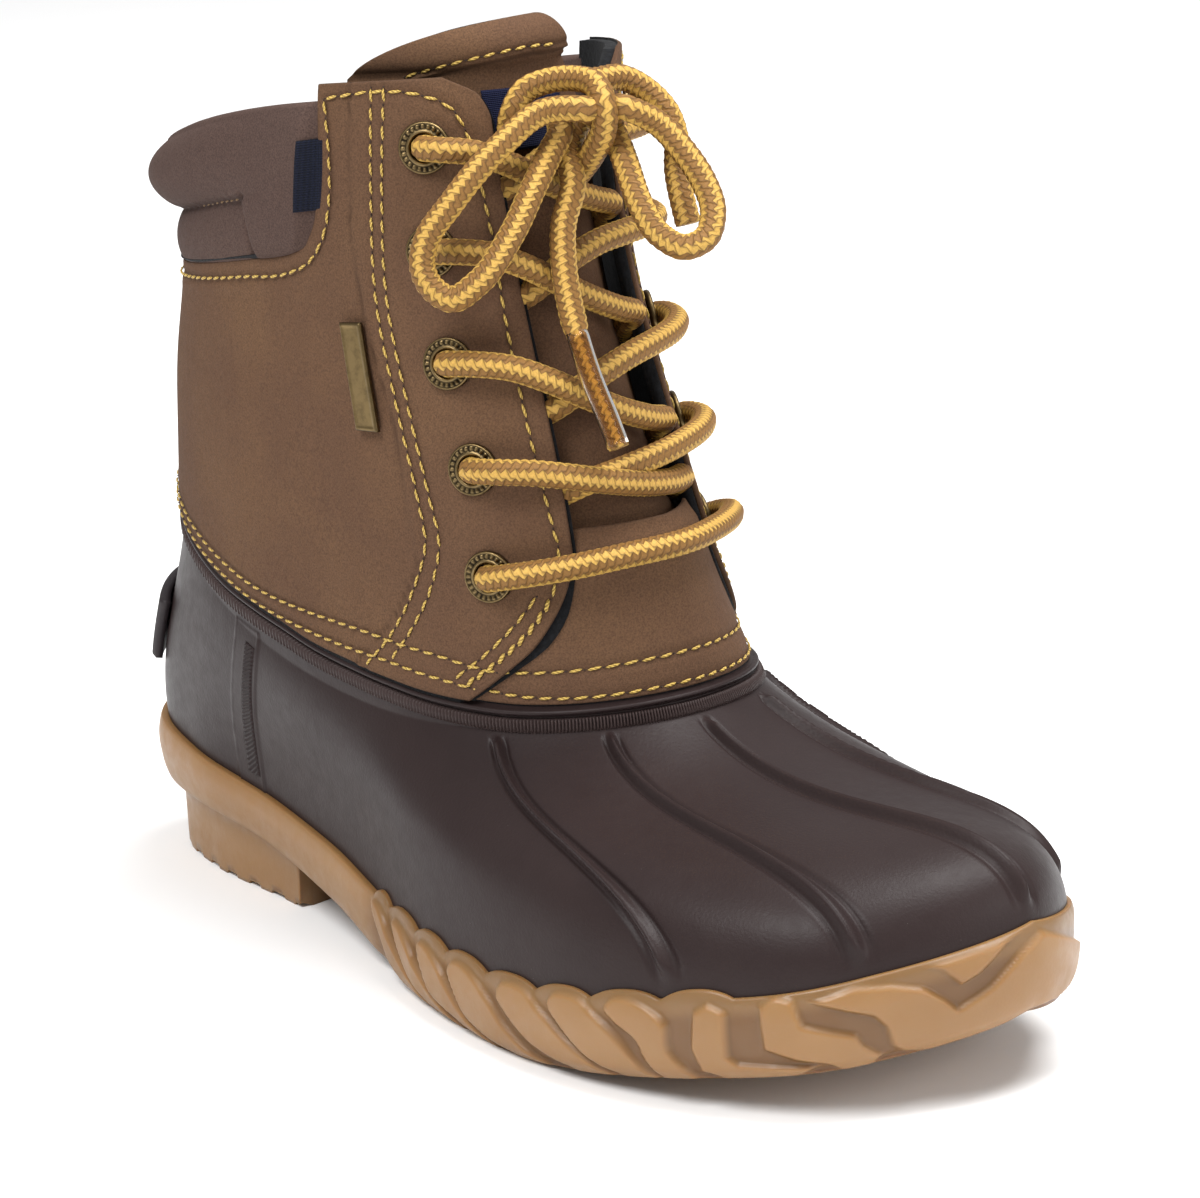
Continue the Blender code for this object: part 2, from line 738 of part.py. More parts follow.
def tongue_lift(u, v):
    """Front and back of the tongue; its top is a padded roll."""
    roll = np.sin(np.clip((v - 1.03) / 0.085, 0, 1) * math.pi) ** 0.6
    clear = between((0.0, 0.27, 0.34, 1.2), (2 * GAP, 2 * GAP, TONGUE_GAP, TONGUE_GAP), v)
    front = 0.0030 * roll - LEATHER - clear
    back = front - TONGUE_THICK - 0.0050 * roll
    return front, back


def tongue_grid(columns, rows):
    spread = np.linspace(-1.0, 1.0, columns)
    levels = np.concatenate([np.linspace(0.20, 1.02, rows - 5), (1.04, 1.06, 1.08, 1.10, 1.115)])
    outer = between(column(TONGUE_EDGES, 0), column(TONGUE_EDGES, 1), levels)[:, None]
    inner = between(column(TONGUE_EDGES, 0), column(TONGUE_EDGES, 2), levels)[:, None]
    u = np.where(spread > 0, outer, inner) * spread
    crown = 1 - 0.085 * spread[None, :] ** 2 * (levels[:, None] / 1.115) ** 6
    return u, levels[:, None] * crown


def build_tongue(material):
    u, v = tongue_grid(11, 12)
    front, back = tongue_lift(u, v)
    return sheet("tongue", lifted(leather, u, v, front), lifted(leather, u, v, back), material)


def patch(name, u_span, v_span, size, face, base, thickness, made_of, edge=None):
    """Thin piece that lies on a face between spans of u, off an edge, and v."""
    rows, columns = size
    u = np.linspace(u_span[0], u_span[1], columns)[None, :]
    v = np.linspace(v_span[0], v_span[1], rows)[:, None]
    if edge is not None:
        u = u + edge(v)
    base = base(u, v) if callable(base) else base
    outer = lifted(face, u, v, base + thickness)
    inner = lifted(face, u, v, base + 0.0 * (u + v))
    return sheet(name, outer, inner, made_of)


def build_trims():
    webbing = material("webbing", COLOURS["lining"], 0.9)
    navy = material("navy ribbon", COLOURS["navy"], 0.85)
    brass = material("plate brass", COLOURS["brass"], 0.4, 0.9)
    badge = material("badge rubber", COLOURS["lining"], 0.6)
    on_quarter = LAYER + 2 * GAP
    patch("backstay", (0.487, 0.513), (0.09, 0.67), (9, 4), leather, on_quarter, WEBBING, webbing)
    patch("heel_badge", (0.462, 0.538), (0.22, 0.58), (4, 9), rubber, 2 * GAP, BADGE_THICK, badge)
    patch("side_plate", (0.157, 0.1735), (0.457, 0.632), (6, 3), leather, on_quarter, PLATE_THICK, brass)

    def over_collar(u, v):
        low = collar_seam(u) + 0.0035
        return collar_lift(u, (v - low) / (COLLAR_TOP - low))[0] + 3 * GAP

    patch(
        "side_tab", (0.0032, 0.0122), (0.815, 0.930), (5, 3), leather, over_collar, WEBBING, navy,
        edge=eyestay_back,
    )

    def over_tongue(u, v):
        return tongue_lift(u, v)[0] + 2 * GAP

    patch("tongue_label", (-0.012, 0.054), (0.885, 0.992), (3, 7), leather, over_tongue, WEBBING * 0.6, navy)


def eyelet_frame(u, v):
    """Middle of an eyelet on the eyestay, and its three directions."""
    place = lifted(leather, np.array(u), np.array(v), np.array(LAYER))
    out = place - lifted(leather, np.array(u), np.array(v), np.array(0.0))
    out = out / np.linalg.norm(out)
    along = np.cross(out, (0.0, 0.0, 1.0))
    along = along / np.linalg.norm(along)
    return place, along, np.cross(out, along), out


def ring_of(name, profile, steps, frame, made_of):
    """Closed ring turned from a profile of radius and height."""
    place, first, second, out = frame
    turned = bmesh.new()
    corners = [turned.verts.new((r, 0.0, z)) for r, z in profile]
    edges = [turned.edges.new((p, corners[k - 1])) for k, p in enumerate(corners)]
    bmesh.ops.spin(
        turned, geom=corners + edges, axis=(0, 0, 1), cent=(0, 0, 0),
        angle=2 * math.pi, steps=steps, use_merge=True,
    )
    bmesh.ops.remove_doubles(turned, verts=turned.verts, dist=0.00002)
    bmesh.ops.recalc_face_normals(turned, faces=turned.faces)
    for corner in turned.verts:
        x, y, z = corner.co
        corner.co = place + first * x + second * y + out * z
    mesh = bpy.data.meshes.new(name)
    turned.to_mesh(mesh)
    turned.free()
    mesh.materials.append(made_of)
    thing = bpy.data.objects.new(name, mesh)
    BOOT.objects.link(thing)
    return thing


def build_eyelets(upper):
    brass = material("eyelet brass", COLOURS["brass"], 0.4, 0.9)
    barrel = EYELET_HOLE + EYELET_WALL
    depth = LAYER + LEATHER + 2 * GAP
    seat = 2 * GAP
    top = seat + EYELET_FLANGE
    profile = (
        (EYELET_HOLE, top),
        (EYELET_RADIUS * 0.9, top),
        (EYELET_RADIUS, seat),
        (barrel, seat),
        (barrel, -depth),
        (EYELET_HOLE, -depth),
    )
    cutters = bpy.data.meshes.new("eyelet holes")
    holes = bmesh.new()
    for side, name in ((1, "outer"), (-1, "inner")):
        for k, (u, v) in enumerate(EYELETS):
            frame = eyelet_frame(side * u, v)
            ring_of(f"eyelet_{name}_{k + 1}", profile, 12, frame, brass)
            place, first, second, out = frame
            matrix = [[first[i], second[i], out[i], place[i]] for i in range(3)] + [[0, 0, 0, 1]]
            made = bmesh.ops.create_cone(
                holes, cap_ends=True, segments=12, radius1=barrel + 2 * GAP,
                radius2=barrel + 2 * GAP, depth=0.008,
            )
            bmesh.ops.transform(holes, matrix=Matrix(matrix), verts=made["verts"])
    bmesh.ops.recalc_face_normals(holes, faces=holes.faces)
    holes.to_mesh(cutters)
    holes.free()
    cut_from(upper, cutter(bpy.data.objects.new("eyelet holes", cutters)), "DIFFERENCE")


def cutter(thing):
    CUTTERS.objects.link(thing)
    thing.hide_render = True
    thing.display_type = "WIRE"
    return thing


def cut_from(thing, tool, operation):
    change = thing.modifiers.new(operation.lower(), "BOOLEAN")
    change.operation = operation
    change.solver = "EXACT"
    change.object = tool


def smooth_path(points, spacing):
    """Evenly spaced points of a smooth curve through the points."""
    points = np.asarray(points, float)
    run = np.concatenate([[0.0], np.cumsum(np.linalg.norm(np.diff(points, axis=0), axis=1))])
    tangent = np.gradient(points, run, axis=0)
    fine = np.linspace(0.0, run[-1], 400)
    k = np.clip(np.searchsorted(run, fine, side="right") - 1, 0, len(run) - 2)
    h = (run[k + 1] - run[k])[:, None]
    s = ((fine - run[k])[:, None]) / h
    path = (1 + 2 * s) * (1 - s) ** 2 * points[k] + s * (1 - s) ** 2 * h * tangent[k]
    path = path + s * s * (3 - 2 * s) * points[k + 1] + s * s * (s - 1) * h * tangent[k + 1]
    length = np.concatenate([[0.0], np.cumsum(np.linalg.norm(np.diff(path, axis=0), axis=1))])
    count = max(4, int(round(length[-1] / spacing)) + 1)
    even = np.linspace(0.0, length[-1], count)
    return np.stack([np.interp(even, length, path[:, i]) for i in range(3)], 1)


def tube(name, path, radius, made_of, sides=7):
    """Closed round tube along a path."""
    tangent = np.gradient(path, axis=0)
    tangent = tangent / np.linalg.norm(tangent, axis=1)[:, None]
    side = np.cross(tangent[0], (0.0, 0.0, 1.0))
    loops = []
    for point, way in zip(path, tangent):
        side = side - way * np.dot(side, way)
        side = side / np.linalg.norm(side)
        other = np.cross(way, side)
        turn = np.arange(sides) * 2 * math.pi / sides
        loops.append(point + radius * (np.cos(turn)[:, None] * side + np.sin(turn)[:, None] * other))
    count = len(path)
    faces = [list(range(sides))[::-1], [(count - 1) * sides + k for k in range(sides)]]
    for r in range(count - 1):
        for k in range(sides):
            n = (k + 1) % sides
            faces.append([r * sides + k, r * sides + n, (r + 1) * sides + n, (r + 1) * sides + k])
    return mesh_object(name, np.concatenate(loops), faces, made_of)


def off_face(rows):
    table = np.array(rows, float)
    return lifted(leather, table[:, 0], table[:, 1], table[:, 2] / 1000)


def strand_rows(k, side):
    """Route from eyelet k + 1 on one side to the other flap at eyelet k."""
    high = EYELETS[k + 1][1]
    low = max(EYELETS[k][1], VAMP_TOP + 0.022)
    route = STRAND_OUTER if side > 0 else STRAND_INNER
    return [(side * u, high + (low - high) * drop, lift) for u, drop, lift in route]


def build_crossings(cord):
    bar = list(BAR) + [(-u, v, lift) for u, v, lift in reversed(BAR[:-1])]
    tube("lace_bar", smooth_path(off_face(bar), 1.3 * LACE), LACE / 2, cord)
    for k in range(len(EYELETS) - 1):
        first = smooth_path(off_face(strand_rows(k, 1)), 1.2 * LACE)
        second = smooth_path(off_face(strand_rows(k, -1)), 1.2 * LACE)
        strand = tube(f"lace_crossing_{k + 1}", first, LACE / 2, cord)
        other = tube(f"other strand {k + 1}", second, LACE / 2, cord)
        BOOT.objects.unlink(other)
        cut_from(strand, cutter(other), "UNION")


def build_bow(cord):
    for name, rows in CORDS.items():
        path = smooth_path(off_face(rows), 1.6 * LACE)
        curve = bpy.data.curves.new(name, "CURVE")
        curve.dimensions = "3D"
        curve.bevel_depth = LACE / 2
        curve.bevel_resolution = 2
        curve.use_fill_caps = True
        spline = curve.splines.new("POLY")
        spline.points.add(len(path) - 1)
        for point, place in zip(spline.points, path):
            point.co = (*place, 1.0)
        curve.materials.append(cord)
        BOOT.objects.link(bpy.data.objects.new(name, curve))


def material(name, colour, roughness, metallic=0.0):
    made = bpy.data.materials.new(name)
    made.use_nodes = True
    shader = made.node_tree.nodes["Principled BSDF"]
    shader.inputs["Base Color"].default_value = (*colour, 1.0)
    shader.inputs["Roughness"].default_value = roughness
    shader.inputs["Metallic"].default_value = metallic
    return made


def clear_scene():
    for thing in list(bpy.data.objects):
        bpy.data.objects.remove(thing, do_unlink=True)


def collection(name):
    made = bpy.data.collections.new(name)
    bpy.context.scene.collection.children.link(made)
    return made


clear_scene()
BOOT = collection("duck boot")
CUTTERS = collection("cutters")
CUTTERS.hide_render = True

build_outsole(material("gum rubber", COLOURS["gum"], 0.45))
build_insole(material("insole cloth", COLOURS["lining"], 0.9))
build_shell(material("shell rubber", COLOURS["rubber"], 0.45))
UPPER = build_upper(material("brown nubuck", COLOURS["leather"], 0.75))
build_collar(material("padded nubuck", COLOURS["collar"], 0.8))
build_tongue(material("tongue nubuck", COLOURS["leather"], 0.75))
build_trims()
build_eyelets(UPPER)
LACE_CORD = material("braided lace", COLOURS["cord"], 0.8)
build_crossings(LACE_CORD)
build_bow(LACE_CORD)
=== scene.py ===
"""Dressed duck boot on a pale floor.

Axes and units are the frame's: metres, +X to the toe, +Y to the inner side,
+Z up. u runs round the boot, v up the leather, t up the rubber, as in the
part's own script.
"""

import math

import bpy
import numpy as np
from mathutils import Matrix, Vector
from mathutils.kdtree import KDTree


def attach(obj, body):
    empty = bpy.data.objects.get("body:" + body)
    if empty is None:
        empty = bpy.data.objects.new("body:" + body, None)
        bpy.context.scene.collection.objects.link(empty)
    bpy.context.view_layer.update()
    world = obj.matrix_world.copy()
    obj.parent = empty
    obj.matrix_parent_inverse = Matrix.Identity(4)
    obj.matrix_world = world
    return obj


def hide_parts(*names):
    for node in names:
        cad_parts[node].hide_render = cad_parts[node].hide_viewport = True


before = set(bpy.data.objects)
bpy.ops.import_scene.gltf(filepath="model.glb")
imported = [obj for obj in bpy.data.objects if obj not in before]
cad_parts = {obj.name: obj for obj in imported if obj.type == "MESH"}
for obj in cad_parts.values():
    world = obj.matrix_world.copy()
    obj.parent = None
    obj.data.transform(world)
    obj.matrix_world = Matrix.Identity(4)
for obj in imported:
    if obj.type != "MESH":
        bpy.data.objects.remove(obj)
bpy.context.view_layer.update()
SEED = 7

# Named sizes, the same as the part's.
LENGTH = 0.280
BALL_WIDTH = 0.103
SOLE_HEIGHT = 0.036
SHAFT_HEIGHT = 0.164
LEATHER = 0.0022
LAYER = 0.0014
FLANGE = 0.0015
FLANGE_SPACE = 0.0010
GAP = 0.0003
SOLE_FLOOR = 0.0080
BAND_WALL = 0.0062
SHELL_SET_IN = 0.0016
INSOLE_THICK = 0.0045
TONGUE_THICK = 0.0042
TONGUE_GAP = 0.0032
LACE = 0.0056
EYELET_RADIUS = 0.0057
EYELET_HOLE = 0.0030
EYELET_WALL = 0.0006
EYELET_FLANGE = 0.0011
WEBBING = 0.0010
PLATE_THICK = 0.0012
BADGE_THICK = 0.0026

SOLE = (
    (0.032, 0.199, 0.209),
    (0.121, 0.286, 0.316),
    (0.250, 0.311, 0.320),
    (0.411, 0.383, 0.316),
    (0.554, 0.481, 0.374),
    (0.668, 0.515, 0.456),
    (0.775, 0.495, 0.481),
    (0.875, 0.408, 0.461),
    (0.950, 0.252, 0.359),
)
TOE_SIDE_SHIFT = 0.126
HEEL_BLOCK = 0.262
BAND = (
    (0.00, 0.500, 1.056),
    (0.10, 0.236, 0.764),
    (0.21, 0.000, 0.500),
    (0.27, 0.000, 0.514),
    (0.33, 0.222, 0.644),
    (0.42, 0.439, 0.833),
    (0.50, 0.439, 1.000),
)
RINGS = (
    (0.00, 0.164, 0.019, -0.464, 0.374, 0.408, -0.071, 0.183, 0.171, 0.305, 1.01, 0.60),
    (0.22, 0.150, 0.010, -0.450, 0.388, 0.379, -0.089, 0.372, 0.354, 0.427, 1.22, 1.09),
    (0.45, 0.118, 0.000, -0.436, 0.388, 0.369, -0.107, 0.561, 0.537, 0.549, 1.42, 1.20),
    (0.68, 0.071, 0.000, -0.418, 0.379, 0.369, -0.118, 0.756, 0.707, 0.671, 1.43, 1.24),
    (1.00, 0.032, 0.000, -0.414, 0.369, 0.359, -0.125, 1.000, 0.951, 0.829, 1.05, 0.96),
)
RING_POWER = 0.92
RIM_PLACES = (
    (0.00, 0.000),
    (0.10, 0.060),
    (0.21, 0.140),
    (0.33, 0.250),
    (0.42, 0.365),
    (0.50, 0.500),
)
SHELL_CURVE = (
    (0.00, 0.291, 8.0, 0.437, 34.0),
    (0.10, 0.252, 4.0, 0.291, 40.0),
    (0.21, 0.252, 0.0, 0.214, 58.0),
    (0.33, 0.194, -2.0, 0.136, 72.0),
    (0.42, 0.175, -5.0, 0.136, 80.0),
    (0.50, 0.175, -6.0, 0.136, 84.0),
)
RIDGES = ((0.059, 0.061, 0.083), (0.122, 0.134, 0.170))
QUARTER_FRONT = (
    (0.035, 0.128),
    (0.092, 0.101),
    (0.141, 0.080),
    (0.238, 0.059),
    (0.280, 0.0555),
    (0.940, 0.0525),
    (0.985, 0.058),
    (1.020, 0.080),
)
EYESTAY_BACK = ((0.755, 0.203), (0.800, 0.190), (1.020, 0.171))
COLLAR_SEAM = ((0.203, 0.755), (0.226, 0.742), (0.277, 0.730), (0.417, 0.697), (0.500, 0.693))
LEATHER_START = 0.046
VAMP_TOP = 0.305
EYESTAY_TOP = 1.020
COLLAR_TOP = 0.980
EYELETS = ((0.101, 0.240), (0.100, 0.405), (0.103, 0.565), (0.101, 0.738), (0.096, 0.906))
TONGUE_EDGES = (
    (0.20, 0.112, 0.112),
    (0.80, 0.112, 0.105),
    (1.00, 0.158, 0.045),
    (1.20, 0.165, 0.016),
)
STRAND_OUTER = (
    (0.104, 0.00, 6.2),
    (0.086, 0.02, 6.8),
    (0.066, 0.10, 6.6),
    (0.050, 0.24, 5.2),
    (0.034, 0.40, 3.0),
    (0.010, 0.58, -0.4),
    (-0.020, 0.73, -1.3),
    (-0.046, 0.84, -0.6),
)
STRAND_INNER = (
    (0.104, 0.00, 6.2),
    (0.086, 0.04, 6.8),
    (0.066, 0.08, 6.6),
    (0.050, 0.10, 5.2),
    (0.034, 0.11, 3.0),
    (0.010, 0.13, -0.4),
    (-0.020, 0.25, -1.3),
    (-0.046, 0.45, -0.6),
)
# The hidden end of a strand, under the flap: u, lift.
TUCK = ((0.056, -2.4), (0.068, -4.0), (0.080, -5.2))
BAR = (
    (0.104, 0.240, 6.2),
    (0.085, 0.246, 6.8),
    (0.060, 0.252, 6.4),
    (0.030, 0.258, 4.6),
    (0.000, 0.260, 4.2),
)
CORDS = {
    "lace_knot": (
        (0.0394, 0.951, 2.6), (0.0312, 0.982, 3.4), (0.0178, 0.994, 6.2),
        (0.0088, 0.990, 10.9), (0.0061, 0.976, 15.7), (0.0081, 0.937, 19.3),
        (0.0079, 0.894, 17.5), (0.0076, 0.862, 12.4), (0.0068, 0.824, 2.8),
    ),
    "lace_loop_left": (
        (0.0158, 0.935, 18.0), (0.0316, 0.943, 13.4), (0.0540, 0.898, 13.4),
        (0.0790, 0.814, 15.6), (0.0930, 0.752, 16.2), (0.0955, 0.719, 16.2),
        (0.0930, 0.684, 16.0), (0.0850, 0.659, 15.4), (0.0730, 0.677, 15.0),
        (0.0560, 0.743, 14.2), (0.0410, 0.822, 12.4), (0.0265, 0.880, 9.6),
        (0.0205, 0.900, 8.8),
    ),
    "lace_loop_right": (
        (0.0003, 0.929, 19.3), (-0.0084, 0.889, 22.9), (-0.0095, 0.835, 26.4),
        (-0.0080, 0.769, 29.7), (-0.0051, 0.710, 31.3), (-0.0026, 0.667, 30.1),
        (-0.0001, 0.661, 27.5), (0.0017, 0.690, 24.1), (0.0024, 0.755, 20.8),
        (0.0007, 0.824, 17.5),
    ),
    "lace_end_front": (
        (0.0192, 0.812, 9.5), (0.0285, 0.747, 9.4), (0.0320, 0.683, 9.0),
        (0.0330, 0.613, 8.6), (0.0325, 0.549, 9.4), (0.0315, 0.509, 9.8),
        (0.0295, 0.462, 10.4), (0.0280, 0.415, 11.2),
    ),
    "lace_end_back": (
        (-0.0001, 0.981, 11.6), (-0.0176, 0.980, 13.0), (-0.0244, 0.956, 15.7),
        (-0.0256, 0.913, 19.3), (-0.0230, 0.861, 20.7), (-0.0188, 0.804, 20.2),
        (-0.0145, 0.749, 20.8), (-0.0131, 0.706, 21.0),
    ),
}


# Form of the boot.
def between(knots, values, place):
    """Smooth curve through the knots that never overshoots them."""
    x = np.asarray(knots, float)
    y = np.asarray(values, float)
    place = np.clip(np.asarray(place, float), x[0], x[-1])
    step = np.diff(x)
    slope = np.diff(y) / step
    tangent = np.concatenate([slope[:1], np.zeros(len(x) - 2), slope[-1:]])
    for k in range(1, len(x) - 1):
        low, high = slope[k - 1], slope[k]
        if low * high > 0:
            first = 2 * step[k] + step[k - 1]
            second = step[k] + 2 * step[k - 1]
            tangent[k] = (first + second) / (first / low + second / high)
    k = np.clip(np.searchsorted(x, place, side="right") - 1, 0, len(x) - 2)
    s = (place - x[k]) / step[k]
    start = (1 + 2 * s) * (1 - s) ** 2 * y[k] + s * (1 - s) ** 2 * step[k] * tangent[k]
    end = s * s * (3 - 2 * s) * y[k + 1] + s * s * (s - 1) * step[k] * tangent[k + 1]
    return start + end


def column(table, k):
    return [row[k] for row in table]


def by_table(table, place, k=1):
    """Smooth curve through a table's column k over its first column."""
    return between(column(table, 0), column(table, k), place)


def half(u):
    u = np.asarray(u, float) % 1.0
    return np.minimum(u, 1 - u)


def run_of(points):
    """Length from the first point to each point of a path."""
    return np.concatenate([[0.0], np.cumsum(np.linalg.norm(np.diff(points, axis=0), axis=1))])


def at_runs(points, run, places):
    return np.stack([np.interp(places, run, points[:, i]) for i in range(3)], 1)


def smooth_loop(points, steps=30):
    """Closed centripetal spline through the points."""
    points = np.asarray(points, float)
    count = len(points)
    out = []
    for i in range(count):
        p0, p1, p2, p3 = (points[(i + k) % count] for k in (-1, 0, 1, 2))
        t1 = np.linalg.norm(p1 - p0) ** 0.5
        t2 = t1 + np.linalg.norm(p2 - p1) ** 0.5
        t3 = t2 + np.linalg.norm(p3 - p2) ** 0.5
        t = np.linspace(t1, t2, steps, endpoint=False)[:, None]
        a1 = (t1 - t) / t1 * p0 + t / t1 * p1
        a2 = (t2 - t) / (t2 - t1) * p1 + (t - t1) / (t2 - t1) * p2
        a3 = (t3 - t) / (t3 - t2) * p2 + (t - t2) / (t3 - t2) * p3
        b1 = (t2 - t) / t2 * a1 + t / t2 * a2
        b2 = (t3 - t) / (t3 - t1) * a2 + (t - t1) / (t3 - t1) * a3
        out.append((t2 - t) / (t2 - t1) * b1 + (t - t1) / (t2 - t1) * b2)
    out = np.vstack(out)
    return np.vstack([out, out[:1]])


def shares_by_halves(loop, middle):
    run = run_of(loop)
    first = run[:middle + 1] / run[middle] * 0.5
    second = 0.5 + (run[middle + 1:] - run[middle]) / (run[-1] - run[middle]) * 0.5
    return np.concatenate([first, second])


def sole_outline():
    outer = [((s - 0.5) * LENGTH, -w * BALL_WIDTH) for s, w, _ in reversed(SOLE)]
    inner = [((s - 0.5) * LENGTH, w * BALL_WIDTH) for s, _, w in SOLE]
    toe = [(0.5 * LENGTH, TOE_SIDE_SHIFT * BALL_WIDTH)]
    loop = smooth_loop(toe + outer + [(-0.5 * LENGTH, 0.0)] + inner)
    return loop, shares_by_halves(loop, (len(SOLE) + 1) * 30)


OUTLINE, OUTLINE_SHARES = sole_outline()


def sole(u):
    u = np.asarray(u, float) % 1.0
    x = np.interp(u, OUTLINE_SHARES, OUTLINE[:, 0])
    y = np.interp(u, OUTLINE_SHARES, OUTLINE[:, 1])
    return np.stack([x, y], -1)


def sole_out(u):
    run = sole(np.asarray(u) - 0.004) - sole(np.asarray(u) + 0.004)
    out = np.stack([-run[..., 1], run[..., 0]], -1)
    return -out / np.linalg.norm(out, axis=-1)[..., None]


def band(u, which):
    """Height of the band's bottom (1) or top (2)."""
    return by_table(BAND, half(u), which) * SOLE_HEIGHT


def ring(row, u):
    """Points of one ring of the upper at the shares u."""
    _, front, shift, back, outer, inner, widest, z_front, z_side, z_back, in_side, in_front = row
    angle = np.linspace(0, 2 * math.pi, 721)
    c, s = np.cos(angle), np.sin(angle)
    reach = np.where(c > 0, front - widest, widest - back)
    inner_front = (s < 0) & (c > 0)
    x_power = np.where(inner_front, in_front, RING_POWER)
    y_power = np.where(inner_front, in_side, RING_POWER)
    x = (widest + np.sign(c) * reach * np.abs(c) ** x_power) * LENGTH
    side = np.where(s > 0, -outer, inner) * np.abs(s) ** y_power
    y = (side + shift * np.clip(c, 0, 1) ** 2) * BALL_WIDTH
    share = shares_by_halves(np.stack([x, y], 1), 360)
    u = np.asarray(u, float) % 1.0
    x = np.interp(u, share, x)
    y = np.interp(u, share, y)
    k = (front * LENGTH - x) / ((front - back) * LENGTH)
    sag = 4 * (z_side - (z_front + z_back) / 2)
    z = SOLE_HEIGHT + (z_front + (z_back - z_front) * k + sag * k * (1 - k)) * SHAFT_HEIGHT
    return np.stack([x, y, z], -1)


def leather(u, v):
    """Smooth face of the upper at u, v, by a cubic through the rings."""
    u, v = np.broadcast_arrays(np.asarray(u, float), np.asarray(v, float))
    knots = np.array(column(RINGS, 0))
    rings = np.stack([ring(row, u) for row in RINGS])
    step = np.diff(knots)
    count = len(knots)
    matrix = np.eye(count)
    right = np.zeros_like(rings)
    for k in range(1, count - 1):
        matrix[k, k - 1:k + 2] = step[k - 1], 2 * (step[k - 1] + step[k]), step[k]
        rise = (rings[k + 1] - rings[k]) / step[k] - (rings[k] - rings[k - 1]) / step[k - 1]
        right[k] = 6 * rise
    bend = np.linalg.solve(matrix, right.reshape(count, -1)).reshape(rings.shape)
    inside = np.clip(v, 0, 1)
    k = np.clip(np.searchsorted(knots, inside, side="right") - 1, 0, count - 2)
    here = np.ogrid[tuple(slice(n) for n in u.shape)]
    low, high = rings[(k, *here)], rings[(k + 1, *here)]
    low_bend, high_bend = bend[(k, *here)], bend[(k + 1, *here)]
    a = ((knots[k + 1] - inside) / step[k])[..., None]
    b = 1 - a
    h = step[k][..., None]
    point = a * low + b * high + ((a ** 3 - a) * low_bend + (b ** 3 - b) * high_bend) * h * h / 6
    slope = (high - low) / h + ((3 * b * b - 1) * high_bend - (3 * a * a - 1) * low_bend) * h / 6
    return point + slope * (v - inside)[..., None]


def rim(u):
    u = np.asarray(u, float) % 1.0
    share = by_table(RIM_PLACES, half(u))
    return np.where(u <= 0.5, share, 1 - share)


def rubber(u, t):
    """Smooth face of the rubber shell at u, t."""
    u, t = np.broadcast_arrays(np.asarray(u, float), np.asarray(t, float))
    out = sole_out(u)
    foot = np.concatenate([sole(u) - out * SHELL_SET_IN, (band(u, 2) + GAP)[..., None]], -1)
    head = leather(rim(u), np.zeros_like(u))
    run = leather(rim(u + 0.004), 0.0) - leather(rim(u - 0.004), 0.0)
    away = np.stack([run[..., 1], -run[..., 0]], -1)
    away = away / np.linalg.norm(away, axis=-1)[..., None]
    away = away * np.sign(np.sum(away * out, -1))[..., None]
    low, lean, high, drop = (by_table(SHELL_CURVE, half(u), k) for k in (1, 2, 3, 4))
    low, high = low * BALL_WIDTH, high * BALL_WIDTH
    lean, drop = np.radians(lean), np.radians(drop)
    lower = np.concatenate([-out * (low * np.sin(lean))[..., None], (low * np.cos(lean))[..., None]], -1)
    upper = np.concatenate([away * (high * np.cos(drop))[..., None], (-high * np.sin(drop))[..., None]], -1)
    t = t[..., None]
    first = (1 - t) ** 3 * foot + 3 * t * (1 - t) ** 2 * (foot + lower)
    return first + 3 * t * t * (1 - t) * (head + upper) + t ** 3 * head


def normals(face, u, v):
    u, v = np.broadcast_arrays(np.asarray(u, float), np.asarray(v, float))
    step = 0.004
    along = face(u + step, v) - face(u - step, v)
    up = face(u, v + step) - face(u, v - step)
    out = np.cross(up, along)
    return out / np.linalg.norm(out, axis=-1)[..., None]


def lifted(face, u, v, distance):
    """Points of a face moved out of it by the distance."""
    u, v, distance = np.broadcast_arrays(u, v, distance)
    return face(u, v) + normals(face, u, v) * distance[..., None]


def quarter_front(v):
    return by_table(QUARTER_FRONT, v)


def eyestay_back(v):
    return by_table(EYESTAY_BACK, v)


def collar_seam(u):
    return by_table(COLLAR_SEAM, half(u))


def smooth_path(points, spacing):
    """Evenly spaced points of a smooth curve through the points."""
    points = np.asarray(points, float)
    run = run_of(points)
    tangent = np.gradient(points, run, axis=0)
    fine = np.linspace(0.0, run[-1], 400)
    k = np.clip(np.searchsorted(run, fine, side="right") - 1, 0, len(run) - 2)
    h = (run[k + 1] - run[k])[:, None]
    s = ((fine - run[k])[:, None]) / h
    path = (1 + 2 * s) * (1 - s) ** 2 * points[k] + s * (1 - s) ** 2 * h * tangent[k]
    path = path + s * s * (3 - 2 * s) * points[k + 1] + s * s * (s - 1) * h * tangent[k + 1]
    length = run_of(path)
    count = max(4, int(round(length[-1] / spacing)) + 1)
    return at_runs(path, length, np.linspace(0.0, length[-1], count))


def off_face(rows):
    table = np.array(rows, float)
    return lifted(leather, table[:, 0], table[:, 1], table[:, 2] / 1000)


def strand_rows(k, side):
    high = EYELETS[k + 1][1]
    low = max(EYELETS[k][1], VAMP_TOP + 0.022)
    route = STRAND_OUTER if side > 0 else STRAND_INNER
    return [(side * u, high + (low - high) * drop, lift) for u, drop, lift in route]


# Camera and light.
CAMERA_DEGREES = (52.18, 15.80, -2.44)  # turn, rise, roll
CAMERA_LENS = 153.73
CAMERA_SENSOR = 36.0
CAMERA_CLIP = (0.05, 20.0)
CAMERA_TARGET = (0.01605, 0.0, 0.08510)
CAMERA_DISTANCE = 1.12054
LIGHT_TARGET = (0.0, 0.0, 0.08)
